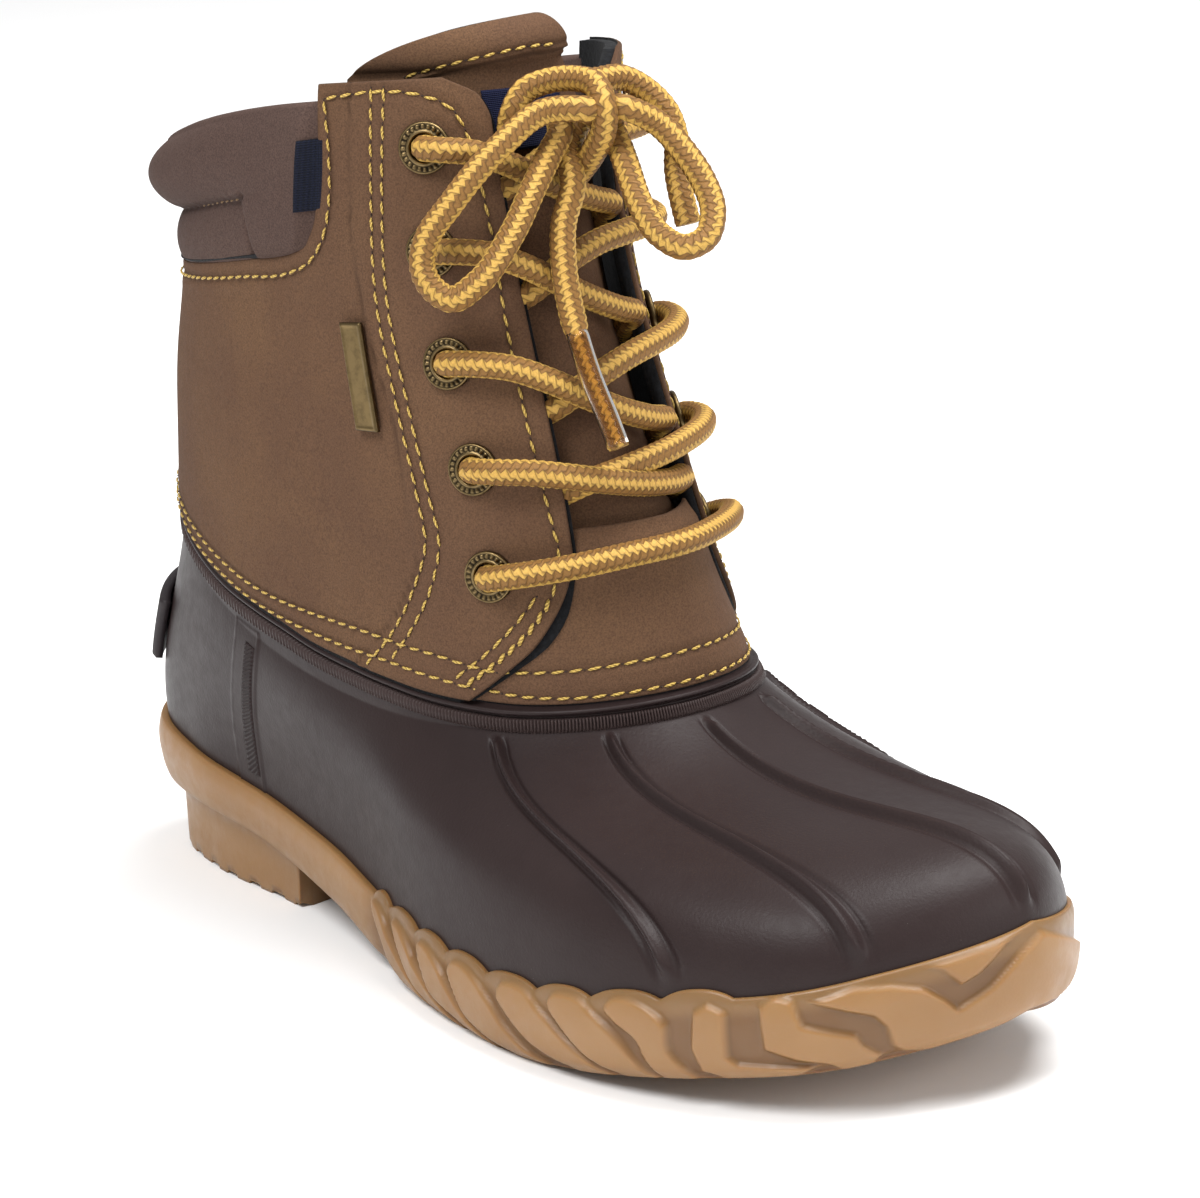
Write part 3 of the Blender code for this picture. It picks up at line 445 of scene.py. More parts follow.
# name, place, size, power
LIGHTS = (
    ("key", (0.3, -1.1, 1.5), 0.9, 28.0),
    ("top", (0.3, 0.4, 1.6), 1.1, 34.0),
    ("side", (1.5, 0.5, 0.7), 0.9, 8.0),
)
WORLD_STRENGTH = 0.47


def add_camera():
    turn, rise, roll = (math.radians(angle) for angle in CAMERA_DEGREES)
    back = Vector((math.sin(turn) * math.cos(rise), -math.cos(turn) * math.cos(rise), math.sin(rise)))
    right = Vector((math.cos(turn), math.sin(turn), 0.0))
    up = back.cross(right)
    side = right * math.cos(roll) + up * math.sin(roll)
    top = up * math.cos(roll) - right * math.sin(roll)
    data = bpy.data.cameras.new("camera")
    data.lens = CAMERA_LENS
    data.sensor_width = CAMERA_SENSOR
    data.clip_start, data.clip_end = CAMERA_CLIP
    camera = bpy.data.objects.new("camera", data)
    place = Vector(CAMERA_TARGET) + back * CAMERA_DISTANCE
    rows = Matrix((side, top, back)).transposed().to_4x4()
    camera.matrix_world = Matrix.Translation(place) @ rows
    bpy.context.scene.collection.objects.link(camera)
    bpy.context.scene.camera = camera


def add_light(name, place, size, power):
    data = bpy.data.lights.new(name, "AREA")
    data.shape = "DISK"
    data.size = size
    data.energy = power
    light = bpy.data.objects.new(name, data)
    way = Vector(place) - Vector(LIGHT_TARGET)
    light.location = place
    light.rotation_mode = "QUATERNION"
    light.rotation_quaternion = way.to_track_quat("Z", "Y")
    bpy.context.scene.collection.objects.link(light)


def add_world():
    world = bpy.data.worlds.new("studio")
    world.use_nodes = True
    node = world.node_tree.nodes["Background"]
    node.inputs["Color"].default_value = (1.0, 1.0, 1.0, 1.0)
    node.inputs["Strength"].default_value = WORLD_STRENGTH
    bpy.context.scene.world = world
    bpy.context.scene.view_settings.view_transform = "Standard"


# Materials.
class Shader:
    """Short way to write a node material."""

    def __init__(self, name, roughness=0.6, metallic=0.0, specular=0.5):
        self.made = bpy.data.materials.new(name)
        self.made.use_nodes = True
        self.tree = self.made.node_tree
        self.face = self.tree.nodes["Principled BSDF"]
        self.set("Roughness", roughness)
        self.set("Metallic", metallic)
        self.set("Specular IOR Level", specular)

    def set(self, socket, value):
        self.face.inputs[socket].default_value = value

    def link(self, source, socket):
        self.tree.links.new(source, self.face.inputs[socket])

    def node(self, kind, inputs=None, **settings):
        made = self.tree.nodes.new(kind)
        for key, value in settings.items():
            setattr(made, key, value)
        for key, value in (inputs or {}).items():
            socket = made.inputs[key]
            if isinstance(value, bpy.types.NodeSocket):
                self.tree.links.new(value, socket)
            else:
                socket.default_value = value
        return made

    def place(self):
        return self.node("ShaderNodeTexCoord").outputs["Object"]

    def uv(self):
        return self.node("ShaderNodeTexCoord").outputs["UV"]

    def noise(self, scale, detail=4.0, roughness=0.5, vector=None, distortion=0.0):
        made = self.node("ShaderNodeTexNoise", {
            "Vector": vector or self.place(), "Scale": scale, "Detail": detail,
            "Roughness": roughness, "Distortion": distortion,
        })
        return made.outputs["Fac"]

    def cells(self, scale, vector=None, feature="F1"):
        made = self.node("ShaderNodeTexVoronoi", {
            "Vector": vector or self.place(), "Scale": scale,
        }, feature=feature)
        return made.outputs["Distance"]

    def maths(self, operation, *values, clamp=False):
        made = self.node("ShaderNodeMath", operation=operation, use_clamp=clamp)
        for k, value in enumerate(values):
            if isinstance(value, bpy.types.NodeSocket):
                self.tree.links.new(value, made.inputs[k])
            else:
                made.inputs[k].default_value = value
        return made.outputs[0]

    def ramp(self, source, *stops):
        made = self.node("ShaderNodeValToRGB", {"Fac": source})
        keys = made.color_ramp.elements
        while len(keys) < len(stops):
            keys.new(0.5)
        for key, (place, colour) in zip(keys, stops):
            key.position = place
            key.color = (*colour, 1.0) if isinstance(colour, tuple) else (colour, colour, colour, 1.0)
        return made.outputs["Color"]

    def spread(self, source, low, high, to_low, to_high):
        made = self.node("ShaderNodeMapRange", {
            "Value": source, "From Min": low, "From Max": high,
            "To Min": to_low, "To Max": to_high,
        })
        return made.outputs["Result"]

    def mix(self, share, first, second, blend="MIX"):
        made = self.node("ShaderNodeMix", data_type="RGBA", blend_type=blend)
        pairs = ((0, share), (6, first), (7, second))
        for k, value in pairs:
            if isinstance(value, bpy.types.NodeSocket):
                self.tree.links.new(value, made.inputs[k])
            elif k == 0:
                made.inputs[k].default_value = value
            else:
                made.inputs[k].default_value = (*value, 1.0)
        return made.outputs[2]

    def attribute(self, name):
        return self.node("ShaderNodeAttribute", attribute_name=name).outputs["Fac"]

    def split(self, vector):
        return self.node("ShaderNodeSeparateXYZ", {"Vector": vector}).outputs

    def bump(self, height, strength, distance, after=None):
        inputs = {"Height": height, "Strength": strength, "Distance": distance}
        if after is not None:
            inputs["Normal"] = after
        return self.node("ShaderNodeBump", inputs).outputs["Normal"]


def srgb(red, green, blue):
    """Linear colour from the 0 to 255 values of a screen."""
    return tuple(((c / 255 + 0.055) / 1.055) ** 2.4 if c > 10 else c / 3294.6 for c in (red, green, blue))


def nubuck(name, tone, worn, dark, patchy=0.5):
    """Soft brushed leather: fine nap, cloudy rubbed places, small pores."""
    m = Shader(name, roughness=0.85, specular=0.10)
    clouds = m.noise(26.0, 3.0, 0.55)
    fine = m.noise(2500.0, 2.0, 0.7)
    grain = m.noise(520.0, 3.0, 0.6)
    base = m.mix(m.spread(clouds, 0.42, 0.72, 0.0, patchy), tone, worn)
    speck = m.mix(m.spread(fine, 0.38, 0.66, 0.0, 0.60), base, dark)
    # The edge attribute darkens toward the dark tone: darker cut edges, and painted shade at sewn rows,
    # creases, the panel step and under the tongue's roll.
    edge = m.attribute("edge")
    m.link(m.mix(m.maths("MULTIPLY", edge, 0.65, clamp=True), speck, dark), "Base Color")
    m.link(m.spread(grain, 0.3, 0.7, 0.78, 0.92), "Roughness")
    first = m.bump(fine, 0.55, 0.00020)
    second = m.bump(grain, 0.4, 0.00022, first)
    m.link(m.bump(m.noise(120.0, 3.0, 0.5), 0.35, 0.0005, second), "Normal")
    return m.made


def shell_rubber(name="shell rubber", low=(36, 27, 27), high=(46, 36, 35)):
    """Satin moulded rubber with faint grain and dust."""
    m = Shader(name, roughness=0.42, specular=0.14)
    clouds = m.noise(30.0, 4.0, 0.6)
    tone = m.mix(clouds, srgb(*low), srgb(*high))
    dust = m.ramp(m.cells(420.0), (0.0, 1.0), (0.045, 0.0))
    rare = m.ramp(m.noise(90.0, 2.0, 0.5), (0.60, 0.0), (0.66, 1.0))
    share = m.maths("MULTIPLY", m.maths("MULTIPLY", dust, rare), 0.55)
    m.link(m.mix(share, tone, srgb(150, 140, 138)), "Base Color")
    m.link(m.spread(m.noise(300.0, 4.0, 0.6), 0.3, 0.7, 0.38, 0.46), "Roughness")
    first = m.bump(m.noise(1300.0, 2.0, 0.6), 0.40, 0.00014)
    m.link(m.bump(m.noise(160.0, 3.0, 0.5), 0.05, 0.0004, first), "Normal")
    return m.made


def gum_rubber():
    """Amber gum rubber, a little see-through at thin places."""
    m = Shader("gum rubber", roughness=0.40, specular=0.45)
    m.set("Subsurface Weight", 0.22)
    m.set("Subsurface Radius", (0.0040, 0.0018, 0.0008))
    m.set("Subsurface Scale", 1.0)
    clouds = m.noise(38.0, 3.0, 0.55)
    tone = m.mix(clouds, srgb(128, 92, 52), srgb(143, 107, 65))
    # The groove attribute is painted shade: it darkens the grooves and the sole's underside.
    low = m.attribute("groove")
    tone = m.mix(m.maths("MULTIPLY", low, 0.9, clamp=True), tone, srgb(97, 66, 33))
    # The second attribute is painted shade too, in the grooves near the band's top edge.
    top_groove_shade = m.attribute("top_groove_shade")
    tone = m.mix(m.maths("MULTIPLY", top_groove_shade, 0.8, clamp=True), tone, srgb(108, 80, 46))
    m.link(tone, "Base Color")
    m.link(m.spread(m.noise(220.0, 4.0, 0.6), 0.3, 0.7, 0.34, 0.52), "Roughness")
    first = m.bump(m.noise(1300.0, 2.0, 0.5), 0.2, 0.00012)
    m.link(m.bump(m.noise(110.0, 3.0, 0.5), 0.18, 0.0005, first), "Normal")
    return m.made


def black_cloth(name, tone=(9, 9, 11), pale=(30, 31, 35)):
    """Black knit lining and cut felt."""
    m = Shader(name, roughness=0.92, specular=0.2)
    m.set("Sheen Weight", 0.05)
    fibre = m.noise(900.0, 4.0, 0.7, distortion=0.6)
    rib = m.noise(260.0, 2.0, 0.5)
    m.link(m.mix(m.spread(fibre, 0.45, 0.8, 0.0, 0.8), srgb(*tone), srgb(*pale)), "Base Color")
    first = m.bump(fibre, 0.8, 0.0003)
    m.link(m.bump(rib, 0.5, 0.0005, first), "Normal")
    return m.made


def woven(name, tone, pale, pitch=0.00055):
    """Narrow ribbon or webbing with cross ribs, by its own metres."""
    m = Shader(name, roughness=0.85, specular=0.25)
    across, along, _ = m.split(m.uv())
    rib = m.maths("SINE", m.maths("MULTIPLY", along, 2 * math.pi / pitch))
    cross = m.maths("SINE", m.maths("MULTIPLY", across, 2 * math.pi / (pitch * 1.3)))
    height = m.maths("ADD", rib, m.maths("MULTIPLY", cross, 0.6))
    # The colour follows the ribs' height: lighter on their tops and darker between them, as painted light
    # and shade of the weave.
    share = m.spread(height, -1.2, 1.6, 0.0, 1.0)
    m.link(m.mix(share, tone, pale), "Base Color")
    first = m.bump(share, 0.7, 0.00025)
    m.link(m.bump(m.noise(1500.0, 3.0, 0.6), 0.3, 0.00015, first), "Normal")
    return m.made


THREAD_TWIST = 0.0011


def thread():
    """Waxed yellow sewing thread with its twist."""
    m = Shader("yellow thread", roughness=0.55, specular=0.4)
    across, along, _ = m.split(m.uv())
    down = m.maths("MULTIPLY", along, 2 * math.pi / THREAD_TWIST)
    turn = m.maths("ADD", down, m.maths("MULTIPLY", across, 4 * math.pi))
    twist = m.maths("SINE", turn)
    # The twist's grooves are painted darker: painted shade between the plies, lighter on their tops.
    share = m.spread(twist, -1.0, 0.4, 0.0, 1.0)
    m.link(m.mix(share, srgb(146, 114, 50), srgb(206, 174, 88)), "Base Color")
    m.link(m.bump(twist, 0.6, 0.0002), "Normal")
    return m.made


def plain_dark(name, tone, roughness=0.8):
    m = Shader(name, roughness=roughness, specular=0.25)
    fine = m.noise(1400.0, 3.0, 0.6)
    m.link(m.mix(fine, srgb(*tone), srgb(*(min(255, c + 14) for c in tone))), "Base Color")
    m.link(m.bump(fine, 0.4, 0.0001), "Normal")
    return m.made


def old_brass(name, tone=(122, 103, 70), deep=(38, 32, 24)):
    """Antique brass: dark in the low places, rubbed on the high ones."""
    m = Shader(name, roughness=0.36, metallic=1.0)
    clouds = m.noise(420.0, 5.0, 0.65)
    fine = m.noise(2600.0, 3.0, 0.6)
    low = m.attribute("low")
    share = m.maths("ADD", m.maths("MULTIPLY", low, 0.85), m.spread(clouds, 0.45, 0.8, 0.0, 0.5), clamp=True)
    m.link(m.mix(share, srgb(*tone), srgb(*deep)), "Base Color")
    m.link(m.spread(clouds, 0.3, 0.7, 0.28, 0.5), "Roughness")
    m.link(m.bump(fine, 0.25, 0.0001), "Normal")
    return m.made


LACE_STRIPES = 8
PLAIT = 0.0018


def lace_material(name="rope lace", yellow=(198, 157, 78), brown=(134, 96, 48), deep=(72, 50, 24)):
    """Round plaited lace: stripes of slanted stitches with toothed borders.

    The UV map holds the way round, as a share, and metres along the lace.
    """
    m = Shader(name, roughness=0.62, specular=0.25)
    around, along, _ = m.split(m.uv())
    lane = m.maths("MULTIPLY", around, float(LACE_STRIPES))
    step = m.maths("DIVIDE", along, PLAIT)
    tooth = m.maths("PINGPONG", step, 0.5)
    shifted = m.maths("ADD", lane, m.maths("MULTIPLY", m.maths("SUBTRACT", tooth, 0.25), 0.9))
    number = m.maths("FLOOR", shifted)
    inside = m.maths("FRACT", shifted)
    even = m.maths("MODULO", m.maths("ADD", number, 16.0), 2.0)
    odd = m.maths("GREATER_THAN", even, 0.5)
    lean = m.spread(odd, 0.0, 1.0, -1.0, 1.0)
    slant = m.maths("MULTIPLY", m.maths("SUBTRACT", inside, 0.5), lean)
    phase = m.maths("FRACT", m.maths("ADD", step, m.maths("MULTIPLY", slant, 0.85)))
    ridge = m.maths("PINGPONG", phase, 0.5)
    height = m.maths("POWER", m.maths("MULTIPLY", ridge, 2.0), 0.5)
    border = m.maths("PINGPONG", inside, 0.5)
    rim_height = m.maths("POWER", m.maths("MULTIPLY", border, 2.0, clamp=True), 0.35)
    relief = m.maths("MULTIPLY", height, rim_height)
    fibre = m.noise(2400.0, 3.0, 0.6)
    colour = m.mix(odd, srgb(*yellow), srgb(*brown))
    colour = m.mix(m.spread(fibre, 0.3, 0.8, 0.0, 0.35), colour, srgb(*deep))
    # Painted shade: the colour goes to the deep tone where the relief is low, between the plaited stitches.
    colour = m.mix(m.spread(relief, 0.0, 0.55, 0.85, 0.0), colour, srgb(*deep))
    m.link(colour, "Base Color")
    first = m.bump(relief, 0.8, 0.0004)
    m.link(m.bump(fibre, 0.3, 0.00015, first), "Normal")
    return m.made


def clear_plastic():
    """Clear sleeve of the lace tip."""
    m = Shader("clear sleeve", roughness=0.10, specular=0.5)
    m.set("Transmission Weight", 1.0)
    m.set("IOR", 1.2)
    m.link(m.mix(m.noise(400.0), srgb(250, 236, 214), srgb(240, 222, 196)), "Base Color")
    return m.made


def floor_material():
    m = Shader("pale floor", roughness=0.9, specular=0.1)
    soft = m.noise(3.0, 2.0, 0.5)
    m.link(m.mix(soft, (0.93, 0.93, 0.93), (0.95, 0.95, 0.95)), "Base Color")
    return m.made


# Mesh builders.
def make_piece(name, points, faces, materials, face_kinds=None, smooth=True):
    mesh = bpy.data.meshes.new(name)
    mesh.from_pydata(np.asarray(points, float).tolist(), [], faces)
    for made in materials:
        mesh.materials.append(made)
    if face_kinds is not None:
        mesh.polygons.foreach_set("material_index", np.asarray(face_kinds, np.int32))
    mesh.polygons.foreach_set("use_smooth", np.full(len(mesh.polygons), smooth))
    mesh.update()
    thing = bpy.data.objects.new(name, mesh)
    bpy.context.scene.collection.objects.link(thing)
    return thing


def put_attribute(thing, name, values):
    made = thing.data.attributes.new(name, "FLOAT", "POINT")
    made.data.foreach_set("value", np.asarray(values, np.float32).ravel())


def put_uv(thing, uv):
    """UV map from a pair of numbers at each vertex."""
    layer = thing.data.uv_layers.new(name="UVMap")
    corners = np.zeros(len(thing.data.loops), np.int32)
    thing.data.loops.foreach_get("vertex_index", corners)
    layer.data.foreach_set("uv", np.asarray(uv, np.float32)[corners].ravel())


def grid_quads(rows, columns, closed=False, offset=0, keep=None):
    span = columns if closed else columns - 1
    r, c = np.meshgrid(np.arange(rows - 1), np.arange(span), indexing="ij")
    if keep is not None:
        r, c = r[keep], c[keep]
    d = (c + 1) % columns
    quads = np.stack([r * columns + c, (r + 1) * columns + c, (r + 1) * columns + d, r * columns + d], -1)
    return quads.reshape(-1, 4) + offset


def sheet(name, outer, inner, materials, keep=None, closed=False, edge_kind=0, inner_kind=0):
    """Closed sheet between two grids of points; the kinds pick materials."""
    rows, columns = outer.shape[:2]
    span = columns if closed else columns - 1
    kept = np.ones((rows - 1, span), bool) if keep is None else keep
    front = grid_quads(rows, columns, closed, 0, kept)
    back = grid_quads(rows, columns, closed, rows * columns, kept)[:, ::-1]
    padded = np.zeros((rows + 1, span + 2), bool)
    padded[1:-1, 1:-1] = kept
    if closed:
        padded[1:-1, 0], padded[1:-1, -1] = kept[:, -1], kept[:, 0]
    walls = []
    half_count = rows * columns
    sides = (
        (padded[:-2, 1:-1], (0, 0), (0, 1)),
        (padded[2:, 1:-1], (1, 1), (1, 0)),
        (padded[1:-1, :-2], (1, 0), (0, 0)),
        (padded[1:-1, 2:], (0, 1), (1, 1)),
    )
    for beyond, p, q in sides:
        r, c = np.nonzero(kept & ~beyond)
        first = (r + p[0]) * columns + (c + p[1]) % columns
        second = (r + q[0]) * columns + (c + q[1]) % columns
        walls.append(np.stack([first, second, second + half_count, first + half_count], -1))
    walls = np.concatenate(walls)
    faces = np.concatenate([front, back, walls])
    kinds = np.concatenate([
        np.zeros(len(front)), np.full(len(back), inner_kind), np.full(len(walls), edge_kind),
    ])
    points = np.concatenate([outer.reshape(-1, 3), inner.reshape(-1, 3)])
    used, place = np.unique(faces, return_inverse=True)
    thing = make_piece(name, points[used], place.reshape(-1, 4).tolist(), materials, kinds)
    return thing, used


def dense(length, step, edge=0.0):
    """Places along a length: even steps, with close ones at both ends."""
    count = max(2, int(round((length - 2 * edge) / step)) + 1)
    middle = np.linspace(edge, length - edge, count)
    if edge <= 0:
        return middle
    close = edge * np.array((0.0, 0.06, 0.2, 0.42, 0.7))
    return np.concatenate([close, middle, (length - close)[::-1]])


def rounding(distance, radius):
    """How far a face drops near its cut edge."""
    d = np.clip(distance / radius, 0.0, 1.0)
    return radius * (1 - np.sqrt(np.clip(1 - (1 - d) ** 2, 0.0, 1.0)))


def soft_steps(value, low, high):
    k = np.clip((value - low) / (high - low), 0.0, 1.0)
    return k * k * (3 - 2 * k)


# Sewn rows, as u by v on the outer side. The inner side has the same rows.
STAY_ROW_A = (
    (0.127, 1.012), (0.137, 0.840), (0.145, 0.666), (0.143, 0.500), (0.139, 0.352),
    (0.138, 0.290), (0.150, 0.215), (0.172, 0.130), (0.196, 0.068),
)
STAY_ROW_B = (
    (0.118, 1.012), (0.129, 0.840), (0.137, 0.666), (0.135, 0.500), (0.131, 0.355),
    (0.129, 0.292), (0.138, 0.220), (0.156, 0.145), (0.174, 0.090),
)
PANEL_LINE = (
    (0.143, 1.020), (0.152, 0.870), (0.158, 0.747), (0.155, 0.600), (0.148, 0.460),
    (0.147, 0.257), (0.160, 0.190), (0.184, 0.115), (0.206, 0.060),
)
THROAT_ROW = (
    (0.0665, 0.900), (0.0640, 0.760), (0.0655, 0.600), (0.0655, 0.450), (0.0635, 0.320),
    (0.0625, 0.265), (0.0660, 0.230), (0.0700, 0.202),
)
SLANT_ROW_A = ((0.070, 0.202), (0.081, 0.162), (0.100, 0.114), (0.124, 0.068))
SLANT_ROW_B = ((0.077, 0.208), (0.089, 0.170), (0.108, 0.122), (0.131, 0.076))
TOP_ROW = (
    (0.1655, 0.996), (0.150, 0.999), (0.122, 1.003), (0.095, 0.993), (0.076, 0.966), (0.0665, 0.900),
)
TONGUE_ROW = ((0.112, 1.020), (0.0954, 1.029), (0.0538, 1.048), (0.0100, 1.058), (-0.0100, 1.054))
BACK_ROW = (
    (0.1655, 0.996), (0.1670, 0.910), (0.1710, 0.840), (0.180, 0.778), (0.197, 0.732), (0.222, 0.710),
    (0.277, 0.697), (0.360, 0.674), (0.430, 0.659), (0.500, 0.655),
)
LOW_ROW = (
    (0.000, 0.046), (0.028, 0.046), (0.075, 0.048), (0.100, 0.055), (0.117, 0.064), (0.135, 0.073),
    (0.152, 0.079), (0.175, 0.087), (0.215, 0.088), (0.260, 0.085), (0.300, 0.080), (0.350, 0.080),
    (0.420, 0.081), (0.500, 0.081),
)
HIGH_ROW = (
    (0.000, 0.092), (0.030, 0.091), (0.075, 0.088), (0.100, 0.090), (0.120, 0.100), (0.139, 0.111),
    (0.162, 0.118), (0.190, 0.125), (0.220, 0.124), (0.250, 0.119), (0.281, 0.112), (0.313, 0.107),
    (0.350, 0.107), (0.420, 0.111), (0.500, 0.113),
)


# Rough metres for a whole u and a whole v, and the step along a sewn row.
ROW_METRES = (0.55, 0.15)
ROW_SPACING = 0.00025


def row_points(row, lift, side=1):
    """Places and outward directions along a sewn row."""
    table = np.array(row, float)
    smooth = smooth_path(np.column_stack([table * ROW_METRES, np.zeros(len(table))]), 0.001)
    u = smooth[:, 0] / ROW_METRES[0] * side
    v = smooth[:, 1] / ROW_METRES[1]
    height = lift(u, v) if callable(lift) else np.full(len(u), lift)
    points = lifted(leather, u, v, height)
    out = normals(leather, u, v)
    length = run_of(points)
    even = np.arange(0.0, length[-1], ROW_SPACING)
    place = at_runs(points, length, even)
    way = at_runs(out, length, even)
    return place, way / np.linalg.norm(way, axis=1)[:, None]


def capsule(start, end, out, radius, sides=6, rings=6, sag=0.4):
    """Points and uv of one stitch between two places on a face."""
    s = np.linspace(0.0, 1.0, rings)
    body = np.sin(np.clip(s * (1 - s) * 4, 0, 1) * math.pi / 2) ** 0.5
    wide = radius * np.clip(body, 0.02, 1.0)
    rise = radius * (np.sin(s * math.pi) ** 0.5 * (0.5 + sag) - sag)
    way = end - start
    length = np.linalg.norm(way)
    way = way / length
    side = np.cross(way, out)
    side = side / np.linalg.norm(side)
    turn = np.arange(sides) * 2 * math.pi / sides
    middle = start + way * (s * length)[:, None] + out * rise[:, None]
    ring_points = (
        middle[:, None]
        + side * (np.cos(turn)[None, :] * wide[:, None])[..., None]
        + out * (np.sin(turn)[None, :] * wide[:, None] * 0.8)[..., None]
    )
    uv = np.stack(np.broadcast_arrays(turn[None, :] / (2 * math.pi), (s * length)[:, None]), -1)
    return ring_points.reshape(-1, 3), uv.reshape(-1, 2)


class Sewing:
    """Gathers stitches of many rows into one mesh."""

    def __init__(self):
        self.points, self.uvs, self.faces, self.kinds = [], [], [], []
        self.count = 0
        self.rows = []

    def add(self, points, uv, kind, sides=6, rings=6):
        quads = grid_quads(rings, sides, closed=True, offset=self.count)
        self.faces.append(quads)
        self.kinds.append(np.full(len(quads), kind))
        self.points.append(points)
        self.uvs.append(uv)
        self.count += len(points)

    def sew(self, row, lift, side=1, pitch=0.0040, gap=0.0009, radius=0.00033, lean=0.00018, kinds=(0, 1)):
        """Slanted stitches along a row, with a needle hole between each two."""
        place, out = row_points(row, lift, side)
        self.rows.append(place)
        length = (len(place) - 1) * ROW_SPACING
        count = max(1, int(round(length / pitch)))
        step = length / count
        for k in range(count):
            ends = np.array((k * step + gap / 2, (k + 1) * step - gap / 2)) / ROW_SPACING
            low, high = np.clip(np.round(ends).astype(int), 0, len(place) - 1)
            if high <= low:
                continue
            start, end, up = place[low], place[high], out[(low + high) // 2]
            way = np.cross(end - start, up)
            way = way / np.linalg.norm(way) * lean
            points, uv = capsule(start + way, end - way, up, radius)
            self.add(points, uv, kinds[0])
            # Each needle hole is a small dark sunk capsule: painted shade for the shadow in the hole.
            hole_low = place[max(0, low - int(gap / ROW_SPACING))]
            hole_high = place[low]
            if np.linalg.norm(hole_high - hole_low) > 1e-5:
                points, uv = capsule(hole_low, hole_high, out[low], radius * 0.50, sag=1.0)
                self.add(points, uv, kinds[1])

    def piece(self, name, materials):
        thing = make_piece(
            name, np.concatenate(self.points), np.concatenate(self.faces).tolist(),
            materials, np.concatenate(self.kinds),
        )
        put_uv(thing, np.concatenate(self.uvs))
        return thing

    def tree(self):
        places = np.concatenate(self.rows)
        tree = KDTree(len(places))
        for k, point in enumerate(places):
            tree.insert(point, k)
        tree.balance()
        return tree


def near(points, tree, reach=0.004):
    """Distance of each point to the nearest sewn place, at most reach."""
    flat = points.reshape(-1, 3)
    out = np.array([tree.find(p)[2] for p in flat])
    return np.minimum(out, reach).reshape(points.shape[:-1])


def dress(piece, *nodes, slot=None):
    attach(piece, "root")
    if nodes:
        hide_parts(*nodes)
    return piece


# Lace.
def plait(around, length):
    """Relief of the plaited stitches: 0 between them, 1 on top of one."""
    step = length / PLAIT
    tooth = np.abs((step % 1.0) - 0.5)
    lane = around * LACE_STRIPES + ((0.5 - tooth) - 0.25)[:, None] * 0.9
    inside = lane % 1.0
    odd = np.floor(lane) % 2
    slant = (inside - 0.5) * np.where(odd > 0.5, 1.0, -1.0)
    phase = (step[:, None] + slant * 0.85) % 1.0
    rise = np.sqrt(np.clip(1 - np.abs(phase - 0.5) * 2, 0, 1))
    border = np.clip(1 - np.abs(inside - 0.5) * 2, 0, 1) ** 0.35
    return rise * border


def rope(name, path, made_of, radius=LACE / 2, sides=32, spacing=0.00045, turn=0.0, taper=None):
    """Plaited round lace along a path, with relief and closed ends."""
    fine = smooth_path(path, spacing)
    length = run_of(fine)
    tangent = np.gradient(fine, axis=0)
    tangent = tangent / np.linalg.norm(tangent, axis=1)[:, None]
    side = np.cross(tangent[0], (0.0, 0.0, 1.0))
    share = np.arange(sides) / sides
    angle = share * 2 * math.pi
    frames = []
    for way in tangent:
        side = side - way * np.dot(side, way)
        side = side / np.linalg.norm(side)
        frames.append((side.copy(), np.cross(way, side)))
    first = np.array([f[0] for f in frames])
    second = np.array([f[1] for f in frames])
    relief = plait((share[None, :] + turn + length[:, None] * 1.2) % 1.0, length)
    wide = np.full(len(fine), radius) if taper is None else radius * taper(length / length[-1])
    wide = wide[:, None] + (relief - 0.62) * 0.00032
    points = (
        fine[:, None]
        + first[:, None] * (np.cos(angle) * wide)[..., None]
        + second[:, None] * (np.sin(angle) * wide)[..., None]
    )
    quads = grid_quads(len(fine), sides, closed=True).tolist()
    last = (len(fine) - 1) * sides
    quads.append(list(range(sides)))
    quads.append([last + k for k in range(sides)][::-1])
    thing = make_piece(name, points.reshape(-1, 3), quads, [made_of])
    seam_free_uv(thing, (turn + length[:, None] * 1.2) + share[None, :], length, sides)
    return thing, fine


def seam_free_uv(thing, around, along, sides):
    """UV of a closed tube: the way round keeps growing across the seam."""
    mesh = thing.data
    layer = mesh.uv_layers.new(name="UVMap")
    corners = np.zeros(len(mesh.loops), np.int32)
    mesh.loops.foreach_get("vertex_index", corners)
    quads = (len(corners) - 2 * sides) // 4
    column_of = corners % sides
    row_of = corners // sides
    value = around[np.minimum(row_of, len(along) - 1), column_of].astype(float)
    body = value[:quads * 4].reshape(-1, 4)
    columns = column_of[:quads * 4].reshape(-1, 4)
    wraps = (columns.max(1) == sides - 1) & (columns.min(1) == 0)
    body[wraps] += np.where(columns[wraps] == 0, 1.0, 0.0)
    value[:quads * 4] = body.ravel()
    uv = np.stack([value, along[np.minimum(row_of, len(along) - 1)]], -1)
    layer.data.foreach_set("uv", uv.astype(np.float32).ravel())


# Metres off the leather's face where a strand comes up through an eyelet, and
# how far its hole's edge is from the eyelet's middle, as a share of the way round.
RISING = np.array((-8.0, -5.0, -2.0, 1.2, 4.0)) / 1000
HOLE_SIDE = 0.0012


def through_eyelet(u, v):
    return lifted(leather, np.full(5, u), np.full(5, v), RISING)


